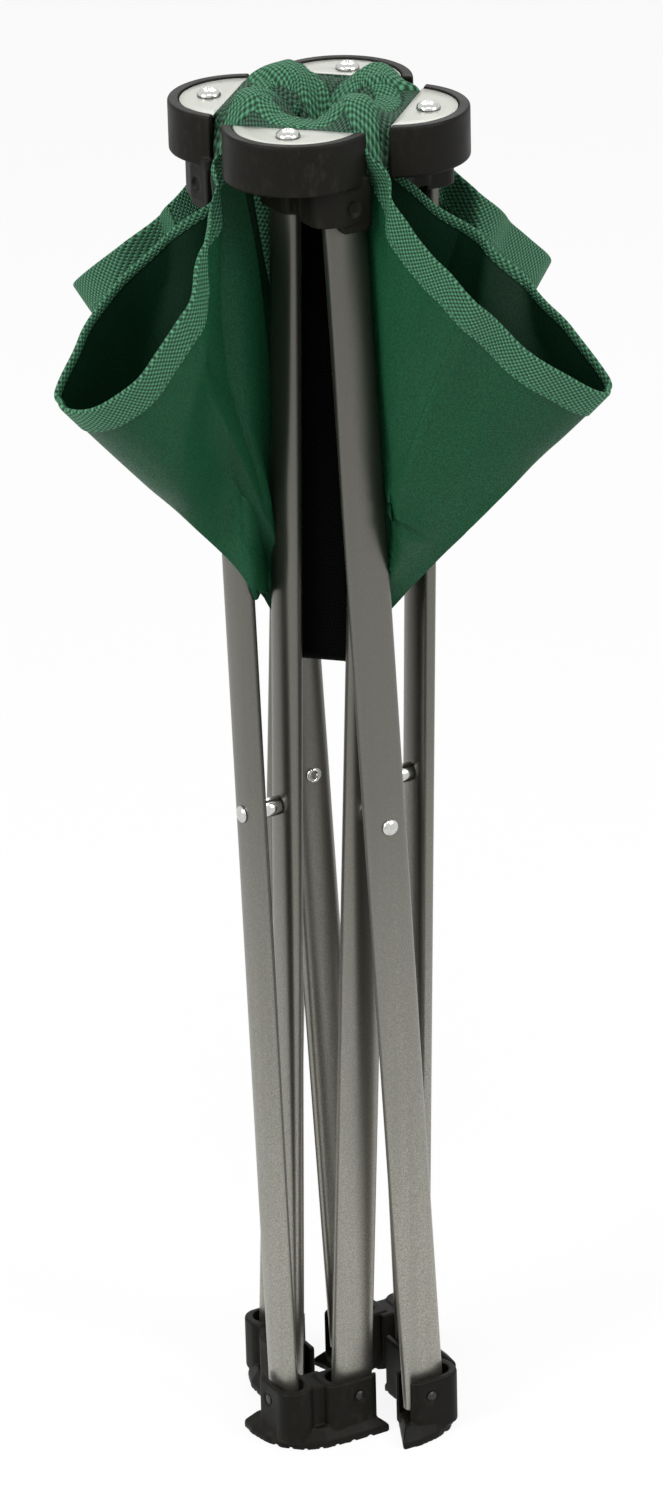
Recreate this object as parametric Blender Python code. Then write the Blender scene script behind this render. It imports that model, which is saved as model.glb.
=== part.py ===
"""Folding camping stool with four crossed pairs of legs and a cloth seat, shown folded.

The stool stands on the origin, +Z up, and its four sides face +X, +Y, -X and -Y.
Side k is the +X side turned k quarter turns about Z, and so is corner k, whose first one
lies between -Y and +X. On each side an outer and an inner tube cross at a rivet. The outer
tube runs from the hub of corner k to the foot of corner k + 1, and the inner tube from the
hub of corner k + 1 to the foot of corner k. Opening the stool turns all the tubes alike, and
the hubs and feet slide outwards without turning.
Lengths are metres and angles are radians, unless a name says otherwise.
"""
import math

import bmesh
import bpy
import numpy as np
from mathutils import Matrix, Vector

# Frame
PIN_SPAN = 0.478          # from the hub pin to the foot pin of a tube
REST_SHIFT = 0.0113       # a pin's distance from the middle of its side, folded
OUTER_PLANE = 0.0355      # the outer tubes' distance from the stool's axis
INNER_PLANE = 0.0204      # the inner tubes' distance from the stool's axis
FOOT_PIN_Z = 0.0175
OPEN_TRAVEL = 0.1276      # how far a hub slides along each side, opening

# Tubes
TUBE_WIDE = 0.0168
TUBE_THICK = 0.0075
TUBE_WALL = 0.0010
TUBE_END = 0.0060         # past the pin
CLEAR = 0.0003            # between any two pieces that touch

# Fasteners
PIN_R = 0.0020
RIVET_R = 0.0021
RIVET_HEAD_R = 0.0032
RIVET_HEAD_H = 0.0018
SPACER_R = 0.0036
SCREW_HEAD_R = 0.0043
SCREW_HEAD_H = 0.0024
SCREW_R = 0.0017
SCREW_LENGTH = 0.0120

# Hubs
CHORD_U = 0.0320          # straight inner edge of the clamp plate, along the diagonal
PLATE_R = 0.0222
PLATE_THICK = 0.0012
RIM = 0.0042              # plastic around the plate
CAP_H = 0.0185
RIM_STEP = 0.0006         # the rim stands above the plate
SCREW_IN = 0.0078         # screw's distance from the chord
PIN_BELOW_CAP = 0.0075    # pin's depth below the cap's underside
EAR_BELOW_PIN = 0.0088
EAR_HALF = 0.0055         # the ear's reach past its pin, across
SEAT_STEP = 0.0030        # the tube seats end this much above the ear
SEAT_ROUND = 0.0028
CHEEK = 0.0029            # wall beside a tube
SLOT_CLEAR = 0.0004       # each side of a tube in its slot
SWING_CLEAR = 0.0004      # past the sweep of a tube's end

# Feet
SOLE_H = 0.0062
SOLE_FLARE = 0.0040
FOOT_H = 0.0245
TREAD_DEPTH = 0.0009

# Seat
CHORD_HALF = 0.0216       # half the clamped corner edge
CLAMP_DEEP = 0.0050       # cloth held under the plate
CLOTH = 0.0007
LAYER_GAP = 0.0004
LEDGE_SHARE = 4 / 13      # of the corner cloth's rows, those on the level ledge
BAG_U = 0.0112            # the folded cloth inside the tubes, along the diagonal
STRAP_WIDE = 0.0190
STRAP = 0.0010
LOBE_HELD = 0.0465        # between hubs and tubes up to this distance from the axis
LOBE_FREE = 0.0760        # past this it hangs as it was folded
CREASE_GAP = 0.0006
LOBE_FIRST = 0.0030       # the lobes' cloth starts this far from the axis
WAVE_ROW = 0.003775       # a quarter of the way between the tubes' planes
HEM_TIP = 0.0012
# The folded lobe of each side: its lower crease's lean off +Z and its turn off the side's
# own direction, in degrees, and then for its -Y wall and its +Y wall the lean of the upper
# edge and where the hem creases, as a share of the hem's half from its middle
LOBES = (
    (40.9, 35.0, (10.5, 0.50), (3.5, 0.55)),
    (39.3, 12.0, (4.0, 0.50), (4.0, 0.50)),
    (38.5, 29.0, (4.0, 0.50), (4.0, 0.50)),
    (40.4, 0.0, (2.0, 0.35), (9.5, 0.45)),
)

# Worked out from these
REST_TURN = math.asin(2 * REST_SHIFT / PIN_SPAN)
OPEN_TURN = math.asin(2 * (REST_SHIFT + OPEN_TRAVEL) / PIN_SPAN)
HUB_PIN_Z = FOOT_PIN_Z + PIN_SPAN * math.cos(REST_TURN)
RIVET_Z = (FOOT_PIN_Z + HUB_PIN_Z) / 2
CAP_BOTTOM = HUB_PIN_Z + PIN_BELOW_CAP
RIM_TOP = CAP_BOTTOM + CAP_H
PLATE_TOP = RIM_TOP - RIM_STEP
CLAMP_Z = PLATE_TOP - PLATE_THICK - CLOTH / 2 - CLEAR
RECESS_Z = CLAMP_Z - CLOTH / 2 - LAYER_GAP - STRAP - CLEAR
CLAMP_R = (CHORD_U + CHORD_HALF) / math.sqrt(2)
CLAMP_T = (CHORD_U - CHORD_HALF) / math.sqrt(2)
HEM_HALF = CLAMP_T + OPEN_TRAVEL
MIDDLE_RAY = CLAMP_R + OPEN_TRAVEL
CORNER_RAY = math.hypot(HEM_HALF, MIDDLE_RAY)
SEAT_Z = CLAMP_Z - math.sqrt(CORNER_RAY ** 2 - CHORD_U ** 2 - CHORD_HALF ** 2)
CORNER_ANGLE = math.atan2(HEM_HALF, MIDDLE_RAY)
STRAP_U = BAG_U + CLOTH / 2 + LAYER_GAP + STRAP + 2 * CLEAR
END_SWEEP = math.hypot(TUBE_WIDE / 2, TUBE_END) + SWING_CLEAR

COLOURS = {
    "steel": ((0.36, 0.35, 0.31), 0.38, 1.0),
    "plastic": ((0.025, 0.023, 0.021), 0.55, 0.0),
    "plate": ((0.72, 0.71, 0.67), 0.30, 1.0),
    "bright": ((0.80, 0.80, 0.79), 0.18, 1.0),
    "cloth": ((0.016, 0.105, 0.042), 0.75, 0.0),
    "webbing": ((0.012, 0.016, 0.013), 0.85, 0.0),
}


def quarter(k):
    """Turn about Z by k quarter turns."""
    return Matrix.Rotation(k * math.pi / 2, 4, "Z")


def corner_point(u, v, z):
    """A point of corner 0, from its distance out along the diagonal and across it."""
    return Vector(((u + v) / math.sqrt(2), (v - u) / math.sqrt(2), z))


def new_collection(name):
    """An empty collection in the scene."""
    made = bpy.data.collections.new(name)
    bpy.context.scene.collection.children.link(made)
    return made


def material(kind):
    """The Principled material of one kind of piece."""
    if kind in bpy.data.materials:
        return bpy.data.materials[kind]
    made = bpy.data.materials.new(kind)
    made.use_nodes = True
    colour, rough, metal = COLOURS[kind]
    shader = made.node_tree.nodes["Principled BSDF"]
    shader.inputs["Base Color"].default_value = (*colour, 1.0)
    shader.inputs["Roughness"].default_value = rough
    shader.inputs["Metallic"].default_value = metal
    made.diffuse_color = (*colour, 1.0)
    return made


def add_object(name, mesh, kind, folder):
    """An object for a mesh, in its material."""
    made = bpy.data.objects.new(name, mesh)
    folder.objects.link(made)
    if kind:
        mesh.materials.clear()
        mesh.materials.append(material(kind))
    return made


def flat_outline(splines, height, bevel=0.0, steps=2):
    """A mesh of the given height on Z = 0, from closed 2D outlines, the later ones holes."""
    curve = bpy.data.curves.new("outline", "CURVE")
    curve.dimensions = "2D"
    curve.fill_mode = "BOTH"
    curve.extrude = height / 2
    for points in splines:
        spline = curve.splines.new("POLY")
        spline.points.add(len(points) - 1)
        for point, (x, y) in zip(spline.points, points):
            point.co = (x, y, 0, 1)
        spline.use_cyclic_u = True
    holder = bpy.data.objects.new("outline", curve)
    bpy.context.scene.collection.objects.link(holder)
    mesh = evaluated(holder)
    bm = bmesh.new()
    bm.from_mesh(mesh)
    bmesh.ops.remove_doubles(bm, verts=bm.verts, dist=1e-6)
    bmesh.ops.dissolve_limit(bm, angle_limit=0.001, verts=bm.verts, edges=bm.edges)
    bmesh.ops.translate(bm, verts=bm.verts, vec=(0, 0, height / 2))
    if bevel:
        sharp = [e for e in bm.edges if len(e.link_faces) == 2 and e.calc_face_angle() > 0.7]
        bmesh.ops.bevel(bm, geom=sharp, offset=bevel, segments=steps, affect="EDGES", profile=0.5)
    bmesh.ops.recalc_face_normals(bm, faces=bm.faces)
    bm.to_mesh(mesh)
    bm.free()
    bpy.data.objects.remove(holder)
    bpy.data.curves.remove(curve)
    return mesh


def evaluated(obj):
    """The object's mesh with its modifiers, in its own frame."""
    bpy.context.view_layer.update()
    seen = obj.evaluated_get(bpy.context.evaluated_depsgraph_get())
    return bpy.data.meshes.new_from_object(seen)


def arc(centre, radius, start, stop, count):
    """Points along a round stretch of an outline, from one angle to another."""
    angles = np.linspace(start, stop, count)
    return [(centre[0] + radius * math.cos(a), centre[1] + radius * math.sin(a)) for a in angles]


def stadium(wide, thick, count=5):
    """Outline of a flat oval, long along X."""
    radius = thick / 2
    reach = wide / 2 - radius
    right = arc((reach, 0), radius, -math.pi / 2, math.pi / 2, count)
    left = arc((-reach, 0), radius, math.pi / 2, 3 * math.pi / 2, count)
    return right + left


def rounded_box(low, high, radius, steps=2):
    """A box between two corners, whose upright edges are rounded."""
    size = Vector(high) - Vector(low)
    x, y = size.x / 2 - radius, size.y / 2 - radius
    outline = []
    for k, (sx, sy) in enumerate(((1, 1), (-1, 1), (-1, -1), (1, -1))):
        start = k * math.pi / 2
        outline += arc((sx * x, sy * y), radius, start, start + math.pi / 2, steps + 1)
    mesh = flat_outline([outline], size.z)
    middle = (Vector(low) + Vector(high)) / 2
    mesh.transform(Matrix.Translation((middle.x, middle.y, low[2])))
    return mesh


def cylinder(start, end, radius, sides=10):
    """A closed cylinder from one point to another."""
    start, end = Vector(start), Vector(end)
    mesh = bpy.data.meshes.new("cylinder")
    bm = bmesh.new()
    length = (end - start).length
    bmesh.ops.create_cone(
        bm, cap_ends=True, segments=sides, radius1=radius, radius2=radius, depth=length
    )
    turn = (end - start).to_track_quat("Z", "Y").to_matrix().to_4x4()
    bmesh.ops.transform(bm, matrix=Matrix.Translation((start + end) / 2) @ turn, verts=bm.verts)
    bm.to_mesh(mesh)
    bm.free()
    return mesh


def combine(base, joined, cut, cutters, last=()):
    """Join meshes to a base mesh, cut others out of it, join the last ones, and return it."""
    holder = bpy.data.objects.new("blank", base)
    cutters.objects.link(holder)
    for operation, group in (("UNION", joined), ("DIFFERENCE", cut), ("UNION", last)):
        for mesh in group:
            tool = bpy.data.objects.new("cutter", mesh)
            cutters.objects.link(tool)
            tool.hide_render = True
            tool.display_type = "WIRE"
            modifier = holder.modifiers.new(operation.lower(), "BOOLEAN")
            modifier.operation = operation
            modifier.solver = "EXACT"
            modifier.object = tool
    mesh = evaluated(holder)
    bpy.data.objects.remove(holder)
    bm = bmesh.new()
    bm.from_mesh(mesh)
    bmesh.ops.remove_doubles(bm, verts=bm.verts, dist=2e-6)
    bmesh.ops.dissolve_degenerate(bm, dist=2e-6, edges=bm.edges)
    bm.to_mesh(mesh)
    bm.free()
    return mesh


def turned(profile, axis_point, direction, sides=20):
    """A body turned from (radius, height) points, whose heights run along a direction."""
    bm = bmesh.new()
    before = None
    for radius, height in profile:
        verts = [bm.verts.new((radius, 0, height))]
        if before:
            bm.edges.new((before, verts[0]))
        before = verts[0]
    bmesh.ops.spin(
        bm, geom=bm.verts[:] + bm.edges[:], axis=(0, 0, 1), cent=(0, 0, 0),
        angle=2 * math.pi, steps=sides, use_duplicate=False
    )
    bmesh.ops.remove_doubles(bm, verts=bm.verts, dist=1e-7)
    bmesh.ops.recalc_face_normals(bm, faces=bm.faces)
    turn = Vector(direction).to_track_quat("Z", "Y").to_matrix().to_4x4()
    bmesh.ops.transform(bm, matrix=Matrix.Translation(axis_point) @ turn, verts=bm.verts)
    mesh = bpy.data.meshes.new("turned")
    bm.to_mesh(mesh)
    bm.free()
    return mesh


def tube_mesh(plane, lean, cutters):
    """A flat oval tube of side 0. Its upper end leans to -Y where lean is -1, else to +Y."""
    length = PIN_SPAN + 2 * TUBE_END
    inner = stadium(TUBE_WIDE - 2 * TUBE_WALL, TUBE_THICK - 2 * TUBE_WALL)
    mesh = flat_outline([stadium(TUBE_WIDE, TUBE_THICK), inner], length)
    mesh.transform(Matrix.Translation((0, 0, -length / 2)))
    mesh.transform(Matrix.Rotation(math.pi / 2, 4, "Z"))
    drills = []
    for z, radius in ((-PIN_SPAN / 2, PIN_R), (0, RIVET_R), (PIN_SPAN / 2, PIN_R)):
        bore = radius + CLEAR
        drills.append(cylinder((-TUBE_THICK, 0, z), (TUBE_THICK, 0, z), bore))
    mesh = combine(mesh, [], drills, cutters)
    mesh.transform(Matrix.Rotation(-lean * REST_TURN, 4, "X"))
    mesh.transform(Matrix.Translation((plane, 0, RIVET_Z)))
    return mesh


def sweep_slot(pin, across, along, reach, open_way, up_way):
    """The space that a tube's end and side sweep in a hub or foot, as cutter meshes.

    pin is on the tube's own plane, across the way through its thickness, along the way of
    its width, towards which open_way says it swings. up_way is 1 where the tube leaves upwards.
    """
    half = TUBE_THICK / 2 + SLOT_CLEAR
    across, along = Vector(across), Vector(along)
    room = cylinder(pin - across * half, pin + across * half, END_SWEEP, 20)
    lows, highs = [], []
    far = Vector((0, 0, reach * up_way))
    for way, past in ((open_way, 0.030), (-open_way, END_SWEEP)):
        lows.append(pin - across * half + along * way * past)
        highs.append(pin + across * half + far)
    points = lows + highs
    low = Vector([min(p[i] for p in points) for i in range(3)])
    high = Vector([max(p[i] for p in points) for i in range(3)])
    return [room, rounded_box(low, high, 0.0002, 1)]


def hub_mesh(cutters):
    """The plastic hub of corner 0: a round-backed cap over two forked tube seats."""
    cap_r = PLATE_R + RIM
    centre_u = CHORD_U - 0.0043
    back = CHORD_U + 0.0002
    start = math.asin((back - centre_u) / cap_r)
    plan = arc((centre_u, 0), cap_r, math.pi / 2 - start, start - math.pi / 2, 19)
    outline = [corner_point(u, v, 0).xy[:] for u, v in plan]
    cap = flat_outline([outline], CAP_H, 0.0008, 1)
    cap.transform(Matrix.Translation((0, 0, CAP_BOTTOM)))
    half = TUBE_THICK / 2 + SLOT_CLEAR + CHEEK
    top = CAP_BOTTOM + 0.0035
    low = HUB_PIN_Z - EAR_BELOW_PIN
    reach = END_SWEEP + CHEEK
    side_gap = 0.0037
    outer = rounded_box(
        (OUTER_PLANE - half, -REST_SHIFT - reach, low + SEAT_STEP),
        (OUTER_PLANE + half, -side_gap, top), SEAT_ROUND
    )
    inner = rounded_box(
        (side_gap, -INNER_PLANE - half, low + SEAT_STEP),
        (REST_SHIFT + reach, -INNER_PLANE + half, top), SEAT_ROUND
    )
    web = rounded_box(
        (REST_SHIFT, -INNER_PLANE - half, low + SEAT_STEP + 0.0012),
        (OUTER_PLANE - half + 0.002, -side_gap - 0.004, top), 0.0015
    )
    ear = rounded_box(
        (OUTER_PLANE + half - CHEEK, -REST_SHIFT - EAR_HALF, low),
        (OUTER_PLANE + half, -side_gap, top), 0.0012
    )
    plate_bed = PLATE_R + CLEAR
    bed_start = math.asin((back - 0.004 - centre_u) / plate_bed)
    bed_plan = arc((centre_u, 0), plate_bed, math.pi / 2 - bed_start, bed_start - math.pi / 2, 19)
    bed = flat_outline([[corner_point(u, v, 0).xy[:] for u, v in bed_plan]], 0.02)
    bed.transform(Matrix.Translation((0, 0, RECESS_Z)))
    outer_pin = Vector((OUTER_PLANE, -REST_SHIFT, HUB_PIN_Z))
    inner_pin = Vector((REST_SHIFT, -INNER_PLANE, HUB_PIN_Z))
    cuts = [bed]
    cuts += sweep_slot(outer_pin, (1, 0, 0), (0, 1, 0), 0.020, 1, -1)
    cuts += sweep_slot(inner_pin, (0, 1, 0), (1, 0, 0), 0.020, -1, -1)
    passage = rounded_box((-0.020, -0.030, 0.480), (STRAP_U, 0.030, 0.515), 0.0002, 1)
    passage.transform(Matrix.Rotation(-math.pi / 4, 4, "Z"))
    cuts.append(passage)
    bore = PIN_R + CLEAR
    cuts.append(cylinder(outer_pin - Vector((0.02, 0, 0)), outer_pin + Vector((0.02, 0, 0)), bore))
    cuts.append(cylinder(inner_pin - Vector((0, 0.02, 0)), inner_pin + Vector((0, 0.02, 0)), bore))
    screw = corner_point(CHORD_U + SCREW_IN, 0, 0)
    hole = SCREW_R + CLEAR
    hole_foot = Vector((0, 0, PLATE_TOP - SCREW_LENGTH - CLEAR))
    cuts.append(cylinder(screw + hole_foot, screw + Vector((0, 0, 0.6)), hole))
    return combine(cap, [outer, inner, web, ear], cuts, cutters)


def plate_mesh(cutters):
    """The steel clamp plate of corner 0, a slice of a disc with one hole."""
    centre_u = CHORD_U - 0.0043
    start = math.asin((CHORD_U - centre_u) / PLATE_R)
    plan = arc((centre_u, 0), PLATE_R, math.pi / 2 - start, start - math.pi / 2, 19)
    plate = flat_outline([[corner_point(u, v, 0).xy[:] for u, v in plan]], PLATE_THICK)
    plate.transform(Matrix.Translation((0, 0, PLATE_TOP - PLATE_THICK)))
    screw = corner_point(CHORD_U + SCREW_IN, 0, 0)
    hole = cylinder(screw + Vector((0, 0, 0.4)), screw + Vector((0, 0, 0.6)), SCREW_R + CLEAR)
    return combine(plate, [], [hole], cutters)


def screw_mesh():
    """The domed screw of corner 0, seated on the plate."""
    dome = [(0.0, SCREW_HEAD_H)]
    dome += [
        (SCREW_HEAD_R * math.sin(a), SCREW_HEAD_H * (0.3 + 0.7 * math.cos(a)))
        for a in np.linspace(0.4, math.pi / 2, 4)
    ]
    profile = dome + [(SCREW_HEAD_R, 0), (SCREW_R, 0), (SCREW_R, -SCREW_LENGTH), (0, -SCREW_LENGTH)]
    foot = corner_point(CHORD_U + SCREW_IN, 0, PLATE_TOP + CLEAR)
    return turned(profile, foot, (0, 0, 1), 12)


def foot_mesh(cutters):
    """The plastic foot of corner 0: two tube sockets on a flared, treaded sole."""
    half = TUBE_THICK / 2 + SLOT_CLEAR + CHEEK
    reach = END_SWEEP + CHEEK
    gap = 0.0030
    outer_pin = Vector((REST_SHIFT, -OUTER_PLANE, FOOT_PIN_Z))
    inner_pin = Vector((INNER_PLANE, -REST_SHIFT, FOOT_PIN_Z))
    low = SOLE_H - 0.002
    outer = rounded_box(
        (gap, -OUTER_PLANE - half, low), (REST_SHIFT + reach, -OUTER_PLANE + half, FOOT_H), 0.0050, 3
    )
    inner = rounded_box(
        (INNER_PLANE - half, -REST_SHIFT - reach, low), (INNER_PLANE + half, -gap, FOOT_H), 0.0035, 3
    )
    web = rounded_box(
        (REST_SHIFT, -OUTER_PLANE + half - 0.003, low),
        (INNER_PLANE + half - 0.0020, -REST_SHIFT - reach + 0.003, FOOT_H - 0.0004), 0.0008, 1
    )
    tip_a = (-0.0035, -0.0455)
    tip_b = (0.0300, 0.0000)
    far = (REST_SHIFT + reach + SOLE_FLARE - 0.0035, -OUTER_PLANE - half - SOLE_FLARE + 0.0030)
    sole_plan = [
        (gap + 0.002, -OUTER_PLANE + half + 0.001), tip_a,
        (0.0040, -0.0462), (0.0125, far[1] - 0.0012), (0.0195, far[1] + 0.0020),
        (far[0] + 0.0005, far[1] + 0.0085), (0.0290, -0.0270), (0.0297, -0.0170), (0.0300, -0.0080),
        tip_b, (0.0240, -0.0018), (INNER_PLANE - half, -0.0022), (INNER_PLANE - half, -0.0180),
        (REST_SHIFT - 0.001, -0.0250),
    ]
    sole = flat_outline([sole_plan[::-1]], SOLE_H - 0.0012, 0.0008, 1)
    cuts = sweep_slot(outer_pin, (0, 1, 0), (1, 0, 0), 0.020, -1, 1)
    cuts += sweep_slot(inner_pin, (1, 0, 0), (0, 1, 0), 0.020, 1, 1)
    pins = [
        cylinder(pin - way * (half - 0.0002), pin + way * (half - 0.0002), PIN_R)
        for pin, way in ((outer_pin, Vector((0, 1, 0))), (inner_pin, Vector((1, 0, 0))))
    ]
    along = Vector((tip_b[0] - tip_a[0], tip_b[1] - tip_a[1], 0)).normalized()
    across = Vector((along.y, -along.x, 0))
    for k in range(7):
        middle = corner_point(0.0310, 0, 0) + along * (k - 3.4) * 0.0058
        groove = cylinder(middle - across * 0.03, middle + across * 0.03, TREAD_DEPTH, 6)
        cuts.append(groove)
    return combine(sole, [outer, inner, web], cuts, cutters, pins)


def rivet_mesh():
    """The shouldered rivet of side 0: domed head outside, rolled tail inside, collar between."""
    outside = OUTER_PLANE + TUBE_THICK / 2 + CLEAR
    inside = INNER_PLANE - TUBE_THICK / 2 - CLEAR
    grip = outside - inside
    head = [
        (RIVET_HEAD_R * math.sin(a), grip + RIVET_HEAD_H * math.cos(a))
        for a in np.linspace(0, math.pi / 2, 4)
    ]
    tail = [(RIVET_HEAD_R - 0.0002, 0), (RIVET_HEAD_R - 0.0004, -0.0009), (RIVET_R, -0.0014)]
    low = INNER_PLANE + TUBE_THICK / 2 + CLEAR - inside
    high = OUTER_PLANE - TUBE_THICK / 2 - CLEAR - inside
    collar = [(RIVET_R, high), (SPACER_R, high), (SPACER_R, low), (RIVET_R, low)]
    shank = [(RIVET_R, grip), *collar, (RIVET_R, 0)]
    profile = head + shank + tail + [(RIVET_R * 0.5, -0.0012), (0, -0.0004)]
    return turned(profile, (inside, 0, RIVET_Z), (1, 0, 0), 10)


def ray(lean, turn):
    """Unit ways from the seat's middle, from their lean off +Z and turn off +X, stacked."""
    lean, turn = np.broadcast_arrays(np.asarray(lean, float), np.asarray(turn, float))
    return np.stack([np.sin(lean) * np.cos(turn), np.sin(lean) * np.sin(turn), np.cos(lean)], -1)


def crease_angle(side, layer):
    """The flat angle at the seat's middle between a wall's crease and the hem's middle."""
    share = LOBES[side][2 if layer < 0 else 3][1]
    return math.atan2(share * HEM_HALF, MIDDLE_RAY)


def wall_rays(side, layer):
    """The rays that bound a lobe's walls in side 0's frame: ring, wall crease, lower crease.

    layer is -1 for the wall on the -Y half of the seat's edge, and 1 for the other. The wall
    crease keeps its flat angles to the other two, and bulges out on the layer's own side.
    """
    lean, turn = (math.radians(angle) for angle in LOBES[side][:2])
    tilt = math.radians(LOBES[side][2 if layer < 0 else 3][0])
    ring, lower = ray(tilt, 0.0), ray(lean, turn)
    between = float(ring @ lower)
    flat = crease_angle(side, layer)
    to_ring, to_lower = math.cos(CORNER_ANGLE - flat), math.cos(flat)
    a = (to_ring - to_lower * between) / (1 - between ** 2)
    b = (to_lower - to_ring * between) / (1 - between ** 2)
    rest = math.sqrt(max(0.0, 1 - a * a - b * b - 2 * a * b * between))
    normal = np.cross(ring, lower)
    normal *= layer * math.copysign(1.0, normal[1]) / np.linalg.norm(normal)
    return ring, a * ring + b * lower + rest * normal, lower


def frame_of(first, second):
    """Unit ways in and across the plane of two rays, and its normal."""
    normal = np.cross(first, second)
    normal = normal / np.linalg.norm(normal)
    return first, np.cross(normal, first), normal


def smooth_step(value, low, high):
    """Rises from 0 at low to 1 at high, with level ends."""
    share = np.clip((value - low) / (high - low), 0, 1)
    return share * share * (3 - 2 * share)


def squeeze_line(r, z):
    """How far along +Y the cloth lies between side 0's crossing tubes, at a radius and height.

    It passes each tube on its free edge, in one wave between their planes, and runs straight
    where the tubes stand apart.
    """
    lean = (z - RIVET_Z) * math.tan(REST_TURN)
    wave = np.maximum(0, TUBE_WIDE / 2 + 2 * CLOTH + 0.0009 - lean)
    phase = np.clip((r - INNER_PLANE) / (OUTER_PLANE - INNER_PLANE), -0.5, 1.5)
    return -wave * np.cos(math.pi * phase)


def middle_ray(side, which):
    """The way between a lobe's two walls' rays of one kind: 0 the ring, 1 the wall crease."""
    both = wall_rays(side, -1)[which] + wall_rays(side, 1)[which]
    return both / np.linalg.norm(both)


def fold_line(side, r, z):
    """The middle of a folded lobe along +Y, between its two walls, in side 0's frame."""
    normal = frame_of(middle_ray(side, 0), wall_rays(side, 1)[2])[2]
    free = -(normal[0] * r + normal[2] * (z - SEAT_Z)) / normal[1]
    held = 1 - smooth_step(r, LOBE_HELD, LOBE_FREE)
    return held * squeeze_line(r, z) + (1 - held) * free, held


def wall_sheet(side, layer, part, columns):
    """Middle surface of one wall piece of a lobe, and its half thickness along Y.

    Each row of points stands at one distance from the stool's axis, between the piece's
    lower and upper edges. Both walls of a lobe share these points seen along Y, and each
    lies on its own side of the lobe's middle.
    """
    own_ring, wall, lower = wall_rays(side, layer)
    ring, crease = middle_ray(side, 0), middle_ray(side, 1)
    flat = (crease_angle(side, -1) + crease_angle(side, 1)) / 2
    hem_ring, hem_crease, hem_lower = (
        way[[0, 2]] * MIDDLE_RAY / math.cos(angle)
        for way, angle in ((ring, CORNER_ANGLE), (crease, flat), (lower, 0.0))
    )
    if part == "inner":
        start, bend, end, own = hem_crease, hem_ring, hem_crease, (wall, own_ring)
    else:
        start, bend, end, own = hem_lower, hem_crease, hem_lower, (lower, wall)
    close = np.linspace(LOBE_FIRST, INNER_PLANE - TUBE_THICK, 3)[:-1]
    crossing = np.arange(INNER_PLANE - 2 * WAVE_ROW, LOBE_HELD, WAVE_ROW)
    loose = np.linspace(LOBE_HELD, end[0] - HEM_TIP, 4 if part == "inner" else 8)
    r = np.concatenate([close, crossing, loose])[:, None]
    low = r * start[1] / start[0]
    high = np.where(
        r < bend[0], r * bend[1] / bend[0],
        bend[1] + (r - bend[0]) * (end[1] - bend[1]) / (end[0] - bend[0])
    )
    low = low + (CREASE_GAP / 2 if part == "inner" else 0)
    high = high - (CREASE_GAP / 2 if part == "outer" else 0)
    share = np.linspace(0, 1, columns)[None, :]
    rise = low + (high - low) * share
    r = r + 0 * rise
    z = rise + SEAT_Z
    middle, held = fold_line(side, r, z)
    step = 1e-4
    slope_r = (fold_line(side, r + step, z)[0] - middle) / step
    slope_z = (fold_line(side, r, z + step)[0] - middle) / step
    steep = np.sqrt(1 + slope_r ** 2 + slope_z ** 2)
    lobe, mine = frame_of(ring, lower)[2], frame_of(*own)[2]
    bulge = (lobe[0] / lobe[1] - mine[0] / mine[1]) * r + (lobe[2] / lobe[1] - mine[2] / mine[1]) * rise
    apart = np.maximum((1 - held) * layer * bulge, steep * (CLOTH + LAYER_GAP) / 2)
    return np.stack([r, middle + layer * apart, z], -1), steep * CLOTH / 2


def gore_sheet(rows, columns, lift, most):
    """Middle surface of corner 0's cloth between the side walls, or of the strap under it.

    It leaves the clamp level, drops inside the tubes and runs down to the seat's middle.
    lift is its distance outwards from the cloth, and most half its greatest width.
    """
    out = np.linspace(0, 1, rows)[:, None]
    across = np.linspace(-1, 1, columns)[None, :]
    clamp_end = CHORD_U + CLAMP_DEEP
    shelf = CLAMP_Z - lift
    ledge = clamp_end + (BAG_U + lift - clamp_end) * np.clip(out / LEDGE_SHARE, 0, 1)
    drop = np.clip((out - LEDGE_SHARE) / (1 - LEDGE_SHARE), 0, 1)
    z = shelf + (SEAT_Z + 0.024 - lift * 2 - shelf) * drop
    plane_u = CHORD_U * (z - SEAT_Z) / (CLAMP_Z - SEAT_Z) + lift
    u = np.where(out <= LEDGE_SHARE, ledge, np.minimum(plane_u, BAG_U + lift))
    tight = np.minimum(most, 0.8 * CHORD_HALF * (z - SEAT_Z) / (CLAMP_Z - SEAT_Z))
    inside = np.minimum(np.minimum(tight, 0.0085), u - 0.0034)
    half = most + (inside - most) * smooth_step(out, 0.10, LEDGE_SHARE)
    v = half * across
    u = u + 0 * v
    z = z + 0 * v
    root = math.sqrt(2)
    return np.stack([(u + v) / root, (v - u) / root, z], -1)


def cloth_solid(name, middle, way, half):
    """A closed sheet: a grid on the middle surface, extruded to both sides of it.

    way holds unit vectors across the sheet, and half its half thickness, at each point.
    """
    rows, columns = middle.shape[:2]
    way = np.broadcast_to(way, middle.shape)
    half = np.broadcast_to(half, (rows, columns))
    front = (middle + way * half[..., None]).reshape(-1, 3)
    back = (middle - way * half[..., None]).reshape(-1, 3)
    bm = bmesh.new()
    bmesh.ops.create_grid(bm, x_segments=columns - 1, y_segments=rows - 1, size=1)
    order = bm.verts.layers.int.new("order")
    bm.verts.ensure_lookup_table()
    for k, vert in enumerate(bm.verts):
        vert[order] = k
    made = bmesh.ops.extrude_face_region(bm, geom=bm.faces[:], use_keep_orig=True)
    raised = {v for v in made["geom"] if isinstance(v, bmesh.types.BMVert)}
    for vert in bm.verts:
        vert.co = (front if vert in raised else back)[vert[order]]
    bmesh.ops.triangulate(bm, faces=bm.faces)
    bmesh.ops.recalc_face_normals(bm, faces=bm.faces)
    bm.verts.layers.int.remove(order)
    mesh = bpy.data.meshes.new(name)
    bm.to_mesh(mesh)
    bm.free()
    return mesh


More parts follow.
